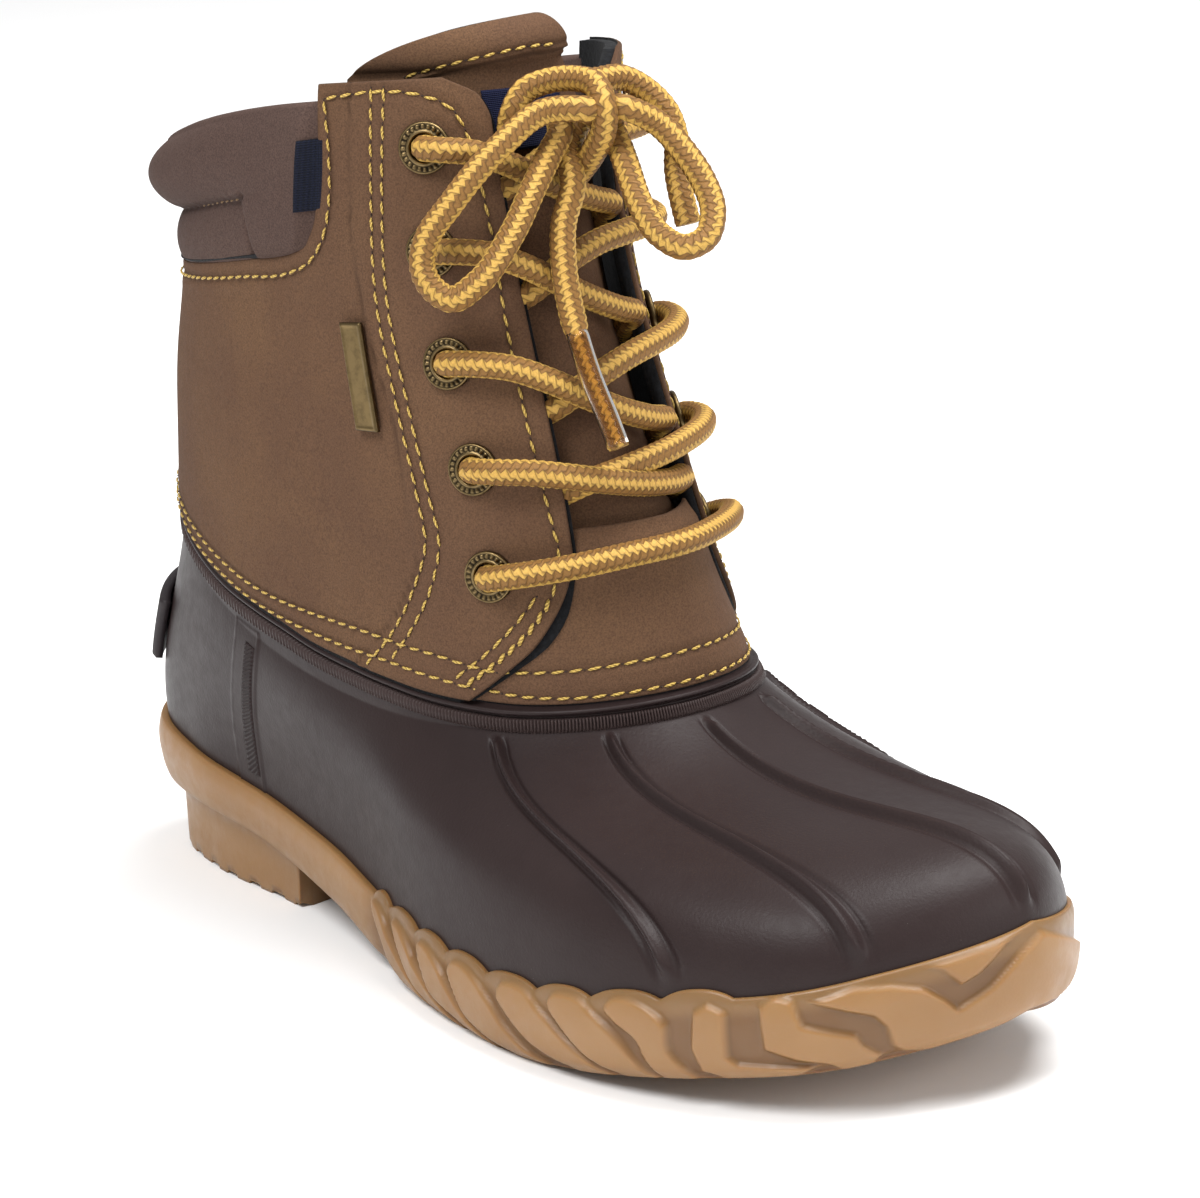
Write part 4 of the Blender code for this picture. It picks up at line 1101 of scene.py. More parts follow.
def build_strands(made_of):
    for k in range(len(EYELETS) - 1):
        for side in (1, -1):
            u, v = EYELETS[k + 1]
            rows = strand_rows(k, side)
            over = off_face(rows)
            start = through_eyelet(side * (u - HOLE_SIDE), v)
            last = rows[-1][1]
            under = off_face([(-side * u, last - 0.010 * n, lift) for n, (u, lift) in enumerate(TUCK, 1)])
            path = np.concatenate([start, over[1:], under])
            turn = 0.03 * k + (0.12 if side < 0 else 0.0)
            name = f"lace_strand_{k + 1}_{'outer' if side > 0 else 'inner'}"
            thing, _ = rope(name, path, made_of, turn=turn)
            dress(thing, f"lace_crossing_{k + 1}", slot="rope_lace")
    bar = list(BAR) + [(-u, v, lift) for u, v, lift in reversed(BAR[:-1])]
    over = off_face(bar)
    u, v = EYELETS[0]
    first = through_eyelet(u - HOLE_SIDE, v)
    last = through_eyelet(HOLE_SIDE - u, v)[::-1]
    thing, _ = rope("lace_bottom_bar", np.concatenate([first, over[1:-1], last]), made_of, turn=0.05)
    dress(thing, "lace_bar", slot="rope_lace")


# Ends of the bow's ropes that are hidden in the knot: rows before, rows after.
BURIED = {
    "lace_knot": (((0.0425, 0.905, 0.5), (0.0415, 0.930, 1.2)), ()),
    "lace_loop_left": (
        ((0.0021, 0.912, 13.0), (0.0078, 0.929, 13.5)),
        ((0.0164, 0.921, 6.7), (0.0065, 0.941, 6.4)),
    ),
    "lace_loop_right": (
        ((-0.0018, 0.925, 11.9), (-0.0037, 0.922, 14.3)),
        ((-0.0017, 0.872, 14.3), (-0.0032, 0.914, 11.5)),
    ),
    "lace_end_front": (((0.0054, 0.915, 7.0), (0.0157, 0.871, 7.4)), ()),
    "lace_end_back": ((), ()),
}


def slim_tip(share):
    """The front end narrows into its tip."""
    return 1.0 - 0.22 * soft_steps(share, 0.60, 0.68)


def build_tip(path):
    """Clear sleeve over the tip of the front end."""
    start = int(len(path) * 0.64)
    fine = path[start::3]
    tangent = np.gradient(fine, axis=0)
    tangent = tangent / np.linalg.norm(tangent, axis=1)[:, None]
    side = np.cross(tangent, (0.0, 0.0, 1.0))
    side = side / np.linalg.norm(side, axis=1)[:, None]
    other = np.cross(tangent, side)
    angle = np.arange(24) * 2 * math.pi / 24
    rows = []
    for radius in (LACE * 0.435, LACE * 0.405):
        ring_points = fine[:, None] + radius * (
            np.cos(angle)[None, :, None] * side[:, None] + np.sin(angle)[None, :, None] * other[:, None]
        )
        rows.append(ring_points if radius > LACE * 0.42 else ring_points[::-1])
    rows = np.concatenate(rows)
    quads = grid_quads(len(rows) + 1, 24, closed=True)
    quads[quads >= len(rows) * 24] -= len(rows) * 24
    thing = make_piece("lace_tip_sleeve", rows.reshape(-1, 3), quads.tolist(), [clear_plastic()])
    return dress(thing, slot="rope_lace")


def build_bow(made_of):
    for number, (name, rows) in enumerate(CORDS.items()):
        before, after = BURIED[name]
        path = off_face(list(before) + list(rows) + list(after))
        front = name == "lace_end_front"
        thing, fine = rope(
            f"{name}_rope", path, made_of, turn=0.11 * number, taper=slim_tip if front else None,
        )
        dress(thing, name, slot="rope_lace")
        (build_tip(fine),) if front else ()


# Rubber shell.
SHELL_COLUMNS = 600
SHELL_WALL = 0.0030


def ridge(d):
    """Height of a moulded ridge d metres from its middle, with its troughs."""
    return 0.0019 * np.exp(-(d / 0.0012) ** 2) - 0.00080 * np.exp(-((np.abs(d) - 0.0028) / 0.0009) ** 2)


def shell_lift(u, t):
    """Raised ridges of the rubber's toe."""
    h = half(u)
    lift = np.zeros_like(u)
    rise = soft_steps(t, 0.02, 0.10) * (1 - soft_steps(t, 0.945, 0.985))
    perimeter = 0.66 - 0.12 * t
    for row in RIDGES:
        centre = between((0.0, 0.5, 1.0), row, t)
        lift += rise * ridge((h - centre) * perimeter)
    return lift + rise * ridge(h * perimeter)


# Top of the rubber's bead up the leather's face, by the leather's u.
BEAD_TOP = (
    (0.00, 0.030), (0.06, 0.031), (0.095, 0.033), (0.125, 0.039), (0.155, 0.046), (0.18, 0.053),
    (0.21, 0.058), (0.245, 0.061), (0.28, 0.066), (0.31, 0.064), (0.35, 0.058), (0.42, 0.056),
    (0.50, 0.054),
)


def bead_top(u):
    """Top of the rubber's bead, as a share of the leather's height."""
    return by_table(BEAD_TOP, half(u))


def leather_start(u):
    """Lower edge of the leather, just above the bead."""
    return bead_top(u) + 0.006


def above_rim(u, height):
    """Face of the rubber's rim: metres above the line where the leather's
    own face begins, or below it when negative."""
    u, height = np.broadcast_arrays(np.asarray(u, float), np.asarray(height, float))
    ones = np.ones(u.shape)
    drop = np.linalg.norm(rubber(u, ones) - rubber(u, ones * 0.96), axis=-1) / 0.04
    low = rubber(u, 1 + np.minimum(height, 0) / drop)
    high = leather(rim(u), np.maximum(height, 0) / rim_rise(u))
    return np.where((height > 0)[..., None], high, low)


def rim_rise(u):
    """Metres up the leather's face for a whole v, just above the rim."""
    start = leather(rim(u), np.zeros(u.shape))
    return np.linalg.norm(leather(rim(u), np.full(u.shape, 0.05)) - start, axis=-1) / 0.05


def rim_drop(u):
    """Metres down the rubber's face for a whole t near the rim."""
    top = rubber(u, np.full(len(u), 1.0))
    below = rubber(u, np.full(len(u), 0.96))
    return np.linalg.norm(top - below, axis=1) / 0.04


def shell_columns(count):
    """Places round the foot, closer together at the ridges and the post."""
    even = np.linspace(0.0, 1.0, 2001)
    h = half(even)
    weight = np.where(h < 0.19, 1.0, np.where((h > 0.370) & (h < 0.406), 1.3, 0.45))
    run = np.concatenate([[0.0], np.cumsum((weight[1:] + weight[:-1]) / 2)])
    return np.interp(np.arange(count) / count, run / run[-1], even)


def shell_side(u):
    """Rows of the rubber's outer face, from the sole up to the rim."""
    uu, tt = np.meshgrid(u, np.linspace(-0.14, 0.90, 64))
    lift = shell_lift(uu, tt) + post_lift(uu, tt, np.ones(uu.shape))
    points = lifted(rubber, uu, np.maximum(tt, 0.0), lift)
    points[..., 2] += np.minimum(tt, 0.0) * 0.040
    return points


def shell_rim(u):
    """Rows of the rim: the bed of the ribs, a groove, and the bead on top."""
    top = bead_top(rim(u)) * rim_rise(u)
    start = -0.10 * rim_drop(u)
    share = np.linspace(0.0, 1.0, 56)[1:, None]
    height = start + (top - start) * (1 - (1 - share) ** 1.6)
    down = top - height
    uu = np.broadcast_to(u, height.shape)
    t_here = np.minimum(1.0, 1 + height / rim_drop(u))
    bead = np.sqrt(np.clip(1 - ((down - 0.0007) / 0.0007) ** 2, 0, 1)) * 0.0010
    groove = -0.0004 * np.exp(-((down - 0.0018) / 0.0003) ** 2)
    bed = 0.00012 * soft_steps(down, 0.0020, 0.0023) * (1 - soft_steps(down, 0.0048, 0.0051))
    lift = shell_lift(uu, t_here) + bead + groove + bed + post_lift(uu, t_here, down)
    return lifted(above_rim, uu, height, lift)


def shell_inside(u, bottom):
    """Rows of the flange under the leather, then down the inner face."""
    ones = np.ones(len(u))
    under = LEATHER + FLANGE_SPACE
    rows = []
    for v, sink in ((0.004, 0.0006), (0.008, under), (0.06, under), (0.09, under)):
        rows.append(lifted(leather, rim(u), bead_top(rim(u)) + v, -sink * ones))
    for v in (0.17, 0.0):
        rows.append(lifted(leather, rim(u), v * ones, -(under + FLANGE) * ones))
    for share in (0.9, 0.7, 0.5, 0.3, 0.1, 0.0):
        rows.append(lifted(rubber, u, share * ones, -SHELL_WALL * ones))
    last = rows[-1].copy()
    last[:, 2] = bottom
    return np.stack(rows + [last])


def build_shell(made_of):
    columns = SHELL_COLUMNS
    u = shell_columns(columns)
    points = np.concatenate([shell_side(u), shell_rim(u)])
    rows = np.concatenate([points, shell_inside(u, points[0, :, 2]), points[:1]])
    count = len(rows) - 1
    quads = grid_quads(len(rows), columns, closed=True)
    quads[quads >= count * columns] -= count * columns
    thing = make_piece("rubber_shell", rows[:-1].reshape(-1, 3), quads.tolist(), [made_of])
    dress(thing, "shell", slot="shell_rubber")


RIB_COUNT = 372
RIB_STEPS = 6


def build_knurls(made_of):
    """Band of fine upright ribs under the bead of the rim."""
    columns = RIB_COUNT * RIB_STEPS
    u = np.arange(columns) / columns
    down = np.array((0.0021, 0.0024, 0.0036, 0.0051, 0.0054))[:, None]
    shape = np.array((0.0, 0.9, 1.0, 0.9, 0.0))[:, None]
    height = (bead_top(rim(u)) * rim_rise(u))[None, :] - down
    uu = np.broadcast_to(u, height.shape)
    wave = np.clip(np.cos(2 * math.pi * RIB_COUNT * uu + down / 0.0040) * 2.0 + 0.3, -1.0, 1.0)
    base = shell_lift(uu, np.minimum(1.0, 1 + height / rim_drop(u)[None, :]))
    outer = lifted(above_rim, uu, height, base + shape * (0.00058 + 0.00050 * wave))
    inner = lifted(above_rim, uu, height, base - 0.0006)
    thing, _ = sheet("rim_ribs", outer, inner, [made_of], closed=True)
    dress(thing, slot="shell_rubber")


def build_felt(black):
    """Black line of felt between the leather's edge and the bead."""
    u = np.arange(720) / 720
    v = bead_top(u)[None, :] + np.array((-0.004, 0.001, 0.005, 0.011))[:, None]
    uu = np.broadcast_to(u, (4, 720))
    lift = np.where(half(uu) > 0.128, 0.00050, -0.00060)
    outer = lifted(leather, uu, v, lift)
    inner = lifted(leather, uu, v, lift - 0.0008)
    thing, _ = sheet("rim_felt", outer, inner, [black], closed=True)
    dress(thing, slot="insole_cloth")


def build_piping(black):
    """Black cord of cloth along the collar's lower seam: partly black piping, partly painted shadow under
    the collar's lower roll.
    """
    u = np.linspace(0.200, 0.800, 500)
    v = collar_seam(u)[None, :] + np.array((-0.004, 0.003, 0.0055, 0.0065))[:, None]
    uu = np.broadcast_to(u, v.shape)
    fade = soft_steps(half(uu), 0.204, 0.226)
    lift = np.array((0.0004, 0.0017, 0.0017, 0.0009))[:, None] * fade - 0.0006 * (1 - fade)
    outer = lifted(leather, uu, v, lift)
    inner = lifted(leather, uu, v, np.full(v.shape, -0.0008))
    thing, _ = sheet("collar_piping", outer, inner, [black])
    dress(thing, slot="insole_cloth")


def post_lift(u, t, down):
    """Flat post near the heel."""
    h = half(u)
    left = 0.3935 + 0.0065 * t
    right = 0.3785 + 0.0015 * t
    x = (left - h) / (left - right)
    inside = soft_steps(x, -0.03, 0.03) * (1 - soft_steps(x, 0.97, 1.03))
    below = soft_steps(down, 0.0065, 0.0075)
    edge = np.exp(-((x - 0.0) / 0.03) ** 2) + np.exp(-((x - 1.0) / 0.03) ** 2)
    return below * (inside * 0.00025 + edge * 0.00022)


def build_post(made_of):
    """Slanted ticks on the front part of the heel's post."""
    def ticks(x, y, wide, tall):
        side = soft_steps(x, 0.0, 0.0004) * soft_steps(wide - x, 0.0, 0.0004)
        return side * np.clip(np.cos(2 * math.pi * (y + x * 0.7) / 0.00115) * 1.6, -1.0, 1.0) * 0.00017

    thing = flat_patch(
        "heel_post_ticks", (0.3798, 0.3872), (0.06, 0.93), (420, 12), rubber, -0.0002, 0.00072,
        made_of, 0.0002, ticks, edge=lambda v: 0.0028 * v,
    )
    dress(thing, slot="shell_rubber")


# Outsole.
SOLE_COLUMNS = 900
PADS = (
    # u by share of the band's height, round each pad
    (
        (0.293, 0.90), (0.289, 0.72), (0.284, 0.50), (0.279, 0.22), (0.266, 0.02), (0.250, -0.10),
        (0.242, -0.10), (0.250, 0.10), (0.262, 0.32), (0.272, 0.56), (0.280, 0.80), (0.285, 0.92),
    ),
    (
        (0.273, 0.91), (0.270, 0.74), (0.266, 0.50), (0.260, 0.25), (0.246, 0.05), (0.232, -0.10),
        (0.222, -0.10), (0.230, 0.08), (0.242, 0.30), (0.252, 0.56), (0.260, 0.80), (0.266, 0.92),
    ),
    (
        (0.2495, 0.92), (0.2500, 0.80), (0.2480, 0.60), (0.2440, 0.30), (0.2270, 0.12), (0.2100, -0.10),
        (0.1960, -0.10), (0.2080, 0.06), (0.2200, 0.28), (0.2280, 0.56), (0.2350, 0.79), (0.2430, 0.93),
    ),
    (
        (0.2260, 0.93), (0.2280, 0.80), (0.2250, 0.56), (0.2200, 0.28), (0.2060, 0.08), (0.1860, -0.10),
        (0.1690, -0.10), (0.1840, 0.12), (0.1950, 0.42), (0.2030, 0.72), (0.2130, 0.92), (0.2190, 0.97),
    ),
    (
        (0.1960, 0.96), (0.1985, 0.80), (0.1930, 0.56), (0.1850, 0.32), (0.1710, 0.08), (0.1560, -0.10),
        (0.1410, -0.10), (0.1520, 0.11), (0.1650, 0.46), (0.1740, 0.74), (0.1830, 0.95), (0.1900, 1.00),
    ),
    (
        (0.1700, 0.97), (0.1720, 0.84), (0.1670, 0.60), (0.1580, 0.27), (0.1480, 0.05), (0.1360, -0.10),
        (0.1240, -0.10), (0.1320, 0.09), (0.1410, 0.50), (0.1490, 0.76), (0.1570, 0.95), (0.1640, 1.00),
    ),
    (
        (0.1440, 0.98), (0.1470, 0.86), (0.1430, 0.70), (0.1350, 0.48), (0.1320, 0.22), (0.1250, -0.10),
        (0.1130, -0.10), (0.1160, 0.10), (0.1220, 0.38), (0.1225, 0.69), (0.1310, 0.92), (0.1390, 1.00),
    ),
)
TOE_PADS = (
    (
        (0.1080, 0.93), (0.1130, 0.84), (0.1145, 0.40), (0.1120, 0.10), (0.1040, -0.02),
        (0.0800, -0.02), (0.0720, 0.10), (0.0810, 0.14), (0.0990, 0.22), (0.1015, 0.30), (0.1015, 0.82),
    ),
    (
        (0.0860, 0.97), (0.0912, 0.86), (0.0900, 0.36), (0.0800, 0.20), (0.0700, 0.10), (0.0650, -0.03),
        (0.0560, -0.03), (0.0520, 0.10), (0.0585, 0.28), (0.0610, 0.42), (0.0770, 0.62), (0.0800, 0.90),
    ),
    (
        (0.0760, 0.86), (0.0620, 0.95), (0.0500, 0.89), (0.0400, 0.77), (0.0330, 0.57), (0.0290, 0.42),
        (0.0180, 0.55), (0.0080, 0.78), (-0.0020, 0.92), (-0.0160, 0.80), (-0.0380, 0.62),
        (-0.0420, 0.30), (-0.0300, 0.14), (-0.0160, 0.06), (0.0130, -0.04), (0.0370, -0.03),
        (0.0460, 0.06), (0.0500, 0.18), (0.0520, 0.42), (0.0560, 0.58),
    ),
    (
        (0.0400, 0.97), (0.0340, 0.88), (0.0280, 0.66), (0.0215, 0.72), (0.0120, 0.92), (0.0030, 1.00),
    ),
)


def polygon_distance(x, y, loop):
    """Signed distance to a closed outline, positive inside, by flat metres."""
    best = np.full(x.shape, 1e9)
    inside = np.zeros(x.shape, bool)
    for k in range(len(loop)):
        ax, ay = loop[k - 1]
        bx, by = loop[k]
        dx, dy = bx - ax, by - ay
        share = np.clip(((x - ax) * dx + (y - ay) * dy) / (dx * dx + dy * dy), 0, 1)
        best = np.minimum(best, np.hypot(x - ax - share * dx, y - ay - share * dy))
        crosses = ((ay > y) != (by > y)) & (x < dx * (y - ay) / (dy if dy else 1e-9) + ax)
        inside ^= crosses
    return np.where(inside, best, -best)


def pad_height(u, s):
    """Share of relief, 1 on a pad and 0 in a groove, at places on the band."""
    around, tall = 0.70, 0.018
    side = np.where((u % 1.0) > 0.5, (u % 1.0) - 1.0, u % 1.0)
    height = np.zeros_like(u)
    for mirror in (1, -1):
        for loop in PADS:
            table = [(a * around, b * tall) for a, b in smooth_outline(loop)]
            d = polygon_distance(side * mirror * around, s * tall, table)
            height = np.maximum(height, soft_steps(d, -0.0003, 0.0010))
    mirrored = [tuple((-a, b) for a, b in loop) for loop in TOE_PADS[:2]]
    for loop in TOE_PADS + tuple(mirrored):
        table = [(a * around, b * tall) for a, b in loop]
        d = polygon_distance(side * around, s * tall, table)
        height = np.maximum(height, soft_steps(d, -0.0003, 0.0009))
    return height


def smooth_outline(loop):
    return [tuple(p) for p in smooth_loop(np.array(loop) * (38.0, 1.0), steps=4)[:-1] / (38.0, 1.0)]


VALLEY_DROP = 0.055
SCALLOP_RISE = 0.115
VALLEYS = (0.292, 0.2795, 0.2555, 0.2325, 0.2070, 0.1800, 0.1545, 0.1260, 0.1000)


def scallops(u):
    """Rise of the gum's top edge over each pad, as a share of the band."""
    h = half(u)
    knots = np.array(sorted(VALLEYS))
    k = np.clip(np.searchsorted(knots, h) - 1, 0, len(knots) - 2)
    x = np.clip((h - knots[k]) / (knots[k + 1] - knots[k]), 0, 1)
    bump = 1 - np.abs(2 * x - 1) ** 2.4
    inside = (h > knots[0]) & (h < knots[-1])
    front = soft_steps(h, 0.05, 0.10) * (h < 0.2)
    back = (1 - soft_steps(h, 0.292, 0.33)) * (h > 0.2)
    return np.where(inside, SCALLOP_RISE * bump - VALLEY_DROP, -VALLEY_DROP * (front + back))


def cap_points(ring_points, across):
    """Places inside a ring, in rows from one side of it to the other."""
    middle = len(ring_points) // 2
    outer, inner = ring_points[1:middle], ring_points[:middle:-1]
    share = (np.arange(across) + 1) / (across + 1)
    return (outer[:, None] + (inner - outer)[:, None] * share[None, :, None]).reshape(-1, 3)


def cap_faces(ring_start, columns, across, start, turned):
    """Faces that close a ring by the places inside it."""
    middle = columns // 2

    def at(i, j):
        if i in (0, middle) or j == 0:
            return ring_start + i
        if j == across + 1:
            return ring_start + (columns - i) % columns
        return start + (i - 1) * across + j - 1

    faces = []
    for i in range(middle):
        for j in range(across + 1):
            loop = [at(i, j), at(i, j + 1), at(i + 1, j + 1), at(i + 1, j)]
            loop = [p for k, p in enumerate(loop) if p != loop[k - 1]]
            if len(loop) > 2:
                faces.append(loop if turned else loop[::-1])
    return faces


# How far the band's face is set in, as a share of its wall, by its height.
BAND_KNOTS = (0.0, 0.14, 0.42, 0.70, 0.93, 1.0)
BAND_SET_IN = (0.50, 0.14, -0.08, -0.16, -0.06, 0.02)
HEEL_NOTCHES = 66


def sole_edge(u, set_in, z):
    """Row of the sole's outline, set in and put at a height."""
    flat = sole(u) - sole_out(u) * np.broadcast_to(set_in, u.shape)[:, None]
    return np.concatenate([flat, np.broadcast_to(z, u.shape)[:, None]], -1)


def pad_row(u, share, low, top):
    """Row of the band with its pads at a share of its height."""
    top_share = 1 + scallops(u)
    s = share * top_share
    fade = 1 - soft_steps(half(u), 0.285, 0.300)
    pads = pad_height(u, s)
    high = soft_steps(s, 0.70, 0.95)
    depth = (1 - pads) * 0.0012 * fade * soft_steps(share, 0.0, 0.05) * (1 - 0.55 * high)
    rise = 0.0004 * soft_steps(pads, 0.2, 1.0) * fade
    set_in = between(BAND_KNOTS, BAND_SET_IN, share) * BAND_WALL
    # Painted shade in the grooves: low on the band through the first value, near its top edge through the
    # second.
    groove = (1 - pads) * fade
    return sole_edge(u, set_in + depth - rise, low + (top - low) * s), groove * (1 - high), groove * high


def ground_rows(u, low):
    """Rows under the band: down the heel's block, and flat in front of it."""
    block = half(u) > breast_share()
    notch = np.where(((half(u) * HEEL_NOTCHES) % 1.0) < 0.45, 0.0012, 0.0)
    rows = []
    # Painted shade through the groove value: strong on the flat part in front of the heel's block, and some
    # on the lowest rows underneath.
    for share, set_in in ((0.05, 0.66), (0.2, 0.72), (0.5, 0.74), (0.8, 0.75), (0.93, 0.76)):
        z = np.where(block, low * (1 - share), low)
        rows.append((sole_edge(u, set_in * BAND_WALL, z), np.where(block, 0.0, 0.8), 0.0))
    for set_in, in_heel, in_front, groove in (
        (0.80, notch, low, 0.3), (1.1, notch * 0.5, low + 0.0004, 0.5), (1.3, 0.0, low + 0.002, 0.6),
    ):
        rows.append((sole_edge(u, set_in * BAND_WALL, np.where(block, in_heel, in_front)), groove, 0.0))
    return rows


def outsole_rows(u):
    """Rows of the outsole, from its inner floor up the wall, over the top edge
    and down to the ground, with how much painted shade each place gets: in the grooves low on the band, and
    in the grooves near its top edge."""
    low, top = band(u, 1), band(u, 2)
    tall = top - low
    top_share = 1 + scallops(u)
    rows = [(sole_edge(u, BAND_WALL, low + SOLE_FLOOR), 0.0, 0.0)]
    for set_in, drop in ((BAND_WALL, 0.05), (0.0024, 0.03), (0.0016, 0.0), (0.0008, 0.0)):
        rows.append((sole_edge(u, set_in, low + tall * (top_share - drop)), 0.0, 0.0))
    rows += [pad_row(u, share, low, top) for share in np.linspace(0.0, 1.0, 42)[::-1]]
    rows += ground_rows(u, low)
    places, groove, top_groove_shade = zip(*rows)
    shades = [np.concatenate([np.broadcast_to(x, u.shape) for x in shade]) for shade in (groove, top_groove_shade)]
    return np.stack(places), *shades


def build_outsole(made_of):
    columns = SOLE_COLUMNS
    ring_rows, *shades = outsole_rows(np.arange(columns) / columns)
    count = len(ring_rows)
    points = [ring_rows.reshape(-1, 3)]
    faces = grid_quads(count, columns, closed=True)[:, ::-1].tolist()
    start = count * columns
    for row, across, turned in ((0, 3, True), (count - 1, 9, False)):
        inside = cap_points(ring_rows[row], across)
        points.append(inside)
        faces += cap_faces(row * columns, columns, across, start, turned)
        # Both caps get painted shade through the groove value.
        for shade, value in ((0, 0.5), (1, 0.0)):
            shades[shade] = np.concatenate([shades[shade], np.full(len(inside), value)])
        start += len(inside)
    thing = make_piece("gum_outsole", np.concatenate(points), faces, [made_of])
    put_attribute(thing, "groove", shades[0])
    put_attribute(thing, "top_groove_shade", shades[1])
    dress(thing, "outsole", slot="gum_rubber")


def breast_share():
    shares = np.linspace(0.3, 0.5, 400)
    edge = (HEEL_BLOCK - 0.5) * LENGTH
    return float(shares[np.argmax(sole(shares)[:, 0] < edge)])


# Upper.
def sewn_in(seam):
    """Lift of leather beside a sewn row: a trough with a low bank."""
    return 0.00012 * np.exp(-((seam - 0.0022) / 0.0011) ** 2) - 0.00028 * np.exp(-(seam / 0.0009) ** 2)


def edge_shade(d, seam):
    """How dark a cut edge and a sewn row look: darker near the cut edge, and painted shade in the sewn row's
    trough.
    """
    return np.exp(-(d / 0.0006)) * 0.8 + np.exp(-(seam / 0.0006) ** 2) * 0.5


def front_only(values, used):
    """Values for a sheet's outer points, with nought for its inner ones."""
    return np.concatenate([np.clip(values, 0, 1).ravel(), np.zeros(values.size)])[used]


PERIMETER = 0.50
SHAFT = 0.150


def panel_line(v):
    return by_table(sorted((height, place) for place, height in PANEL_LINE), v)


def upper_row(below_collar, k, stay_share, back_share):
    """One row of the outer side and its mirror image, at a share k up its part:
    u, v and metres to the nearest edge. The upper part is the eyestay's."""
    seam_start = COLLAR_SEAM[0][1]
    low, high = (LEATHER_START, seam_start) if below_collar else (seam_start, EYESTAY_TOP)
    v_stay = low + (high - low) * k
    edge = float(quarter_front(v_stay))
    turn = float(eyestay_back(v_stay))
    u = np.concatenate([edge + (turn - edge) * stay_share, turn + (0.5 - turn) * back_share])
    on_stay = u <= turn + 1e-9
    seam = collar_seam(u)
    start = leather_start(u)
    if below_collar:
        v = np.where(on_stay, start + (seam_start - start) * k, start + (seam - start) * k)
        top = np.where(u <= turn, 1.0, (seam - v) * SHAFT)
    else:
        v = np.where(on_stay, v_stay, seam)
        side = np.where(on_stay, (turn - u) * PERIMETER, 1.0)
        top = np.minimum((EYESTAY_TOP - v) * SHAFT, side)
    d = np.minimum(np.minimum((u - edge) * PERIMETER, (v - start) * SHAFT), top)
    return (
        np.concatenate([u, 1 - u[-2::-1]]), np.concatenate([v, v[-2::-1]]), np.concatenate([d, d[-2::-1]]),
    )


def upper_grid(size=1.0):
    """u, v and edge metres of the quarter and eyestay, and which cells are kept."""
    seam_start = COLLAR_SEAM[0][1]
    stay_share = dense(0.055, 0.00115 * size, 0.0007) / 0.055
    back_run = dense(0.150, 0.00175 * size)
    back_share = back_run[1:] / back_run[-1]
    below = (seam_start - LEATHER_START) * SHAFT
    above = (EYESTAY_TOP - seam_start) * SHAFT
    low = dense(below, 0.00125 * size, 0.0007) / below
    high = dense(above, 0.00125 * size, 0.0007) / above
    high = high[high > 0.012]
    rows = [upper_row(True, k, stay_share, back_share) for k in low]
    rows += [upper_row(False, k, stay_share, back_share) for k in high]
    u, v, d = (np.stack(part) for part in zip(*rows))
    stay = len(stay_share) - 1
    keep = np.ones((len(rows) - 1, u.shape[1] - 1), bool)
    keep[len(low) - 1:, stay:u.shape[1] - 1 - stay] = False
    return u, v, d, keep


def away_from_eyelets(points, keep, radius):
    """Drops the cells inside the eyelets' barrels."""
    middle = (points[:-1, :-1] + points[1:, 1:]) / 2
    for side in (1, -1):
        for u, v in EYELETS:
            centre = lifted(leather, np.array(side * u), np.array(v), np.array(LAYER))
            keep &= np.linalg.norm(middle - centre, axis=-1) > radius
    return keep


def upper_lift(u, v):
    """Skin of the quarter: the eyestay lies a little over the panel behind."""
    h = half(u)
    line = panel_line(v)
    step = soft_steps((line - h) * PERIMETER, -0.0003, 0.0004)
    crease = np.exp(-(((h - line) * PERIMETER - 0.0002) / 0.0005) ** 2)
    return LAYER - 0.00030 + 0.00040 * step - 0.00045 * crease


def build_upper(skin, backing, sewing):
    u, v, d, keep = upper_grid()
    flat = lifted(leather, u, v, LAYER)
    keep = away_from_eyelets(flat, keep, 0.0043)
    tree = sewing.tree()
    seam = near(flat, tree)
    lift = upper_lift(u, v)
    lift = lift + sewn_in(seam)
    rng = np.random.default_rng(SEED)
    lift = lift + soft_waves(flat, rng, 0.00022)
    lift = lift - rounding(d, 0.0007)
    outer = flat + normals(leather, u, v) * (lift - LAYER)[..., None]
    inner = lifted(leather, u, v, 0.00055)
    thing, used = sheet("upper_skin", outer, inner, [skin, backing], keep, edge_kind=0, inner_kind=1)
    # Painted shade along the panel line, where the eyestay's edge steps over the panel behind; it goes into
    # the edge attribute.
    panel_step_shade = np.exp(-(((half(u) - panel_line(v)) * PERIMETER - 0.0002) / 0.0005) ** 2)
    put_attribute(thing, "edge", front_only(edge_shade(d, seam) + panel_step_shade * 0.9, used))
    dress(thing, "upper", slot="nubuck")
    return thing


def soft_waves(points, rng, size, waves=26, low=18.0, high=95.0):
    """Gentle unevenness of a hide, the same each run."""
    out = np.zeros(points.shape[:-1])
    for _ in range(waves):
        way = rng.normal(size=3)
        way = way / np.linalg.norm(way) * rng.uniform(low, high)
        out += np.sin(points @ way * 2 * math.pi / 2 + rng.uniform(0, 2 * math.pi)) / waves ** 0.5
    return out * size * 0.6


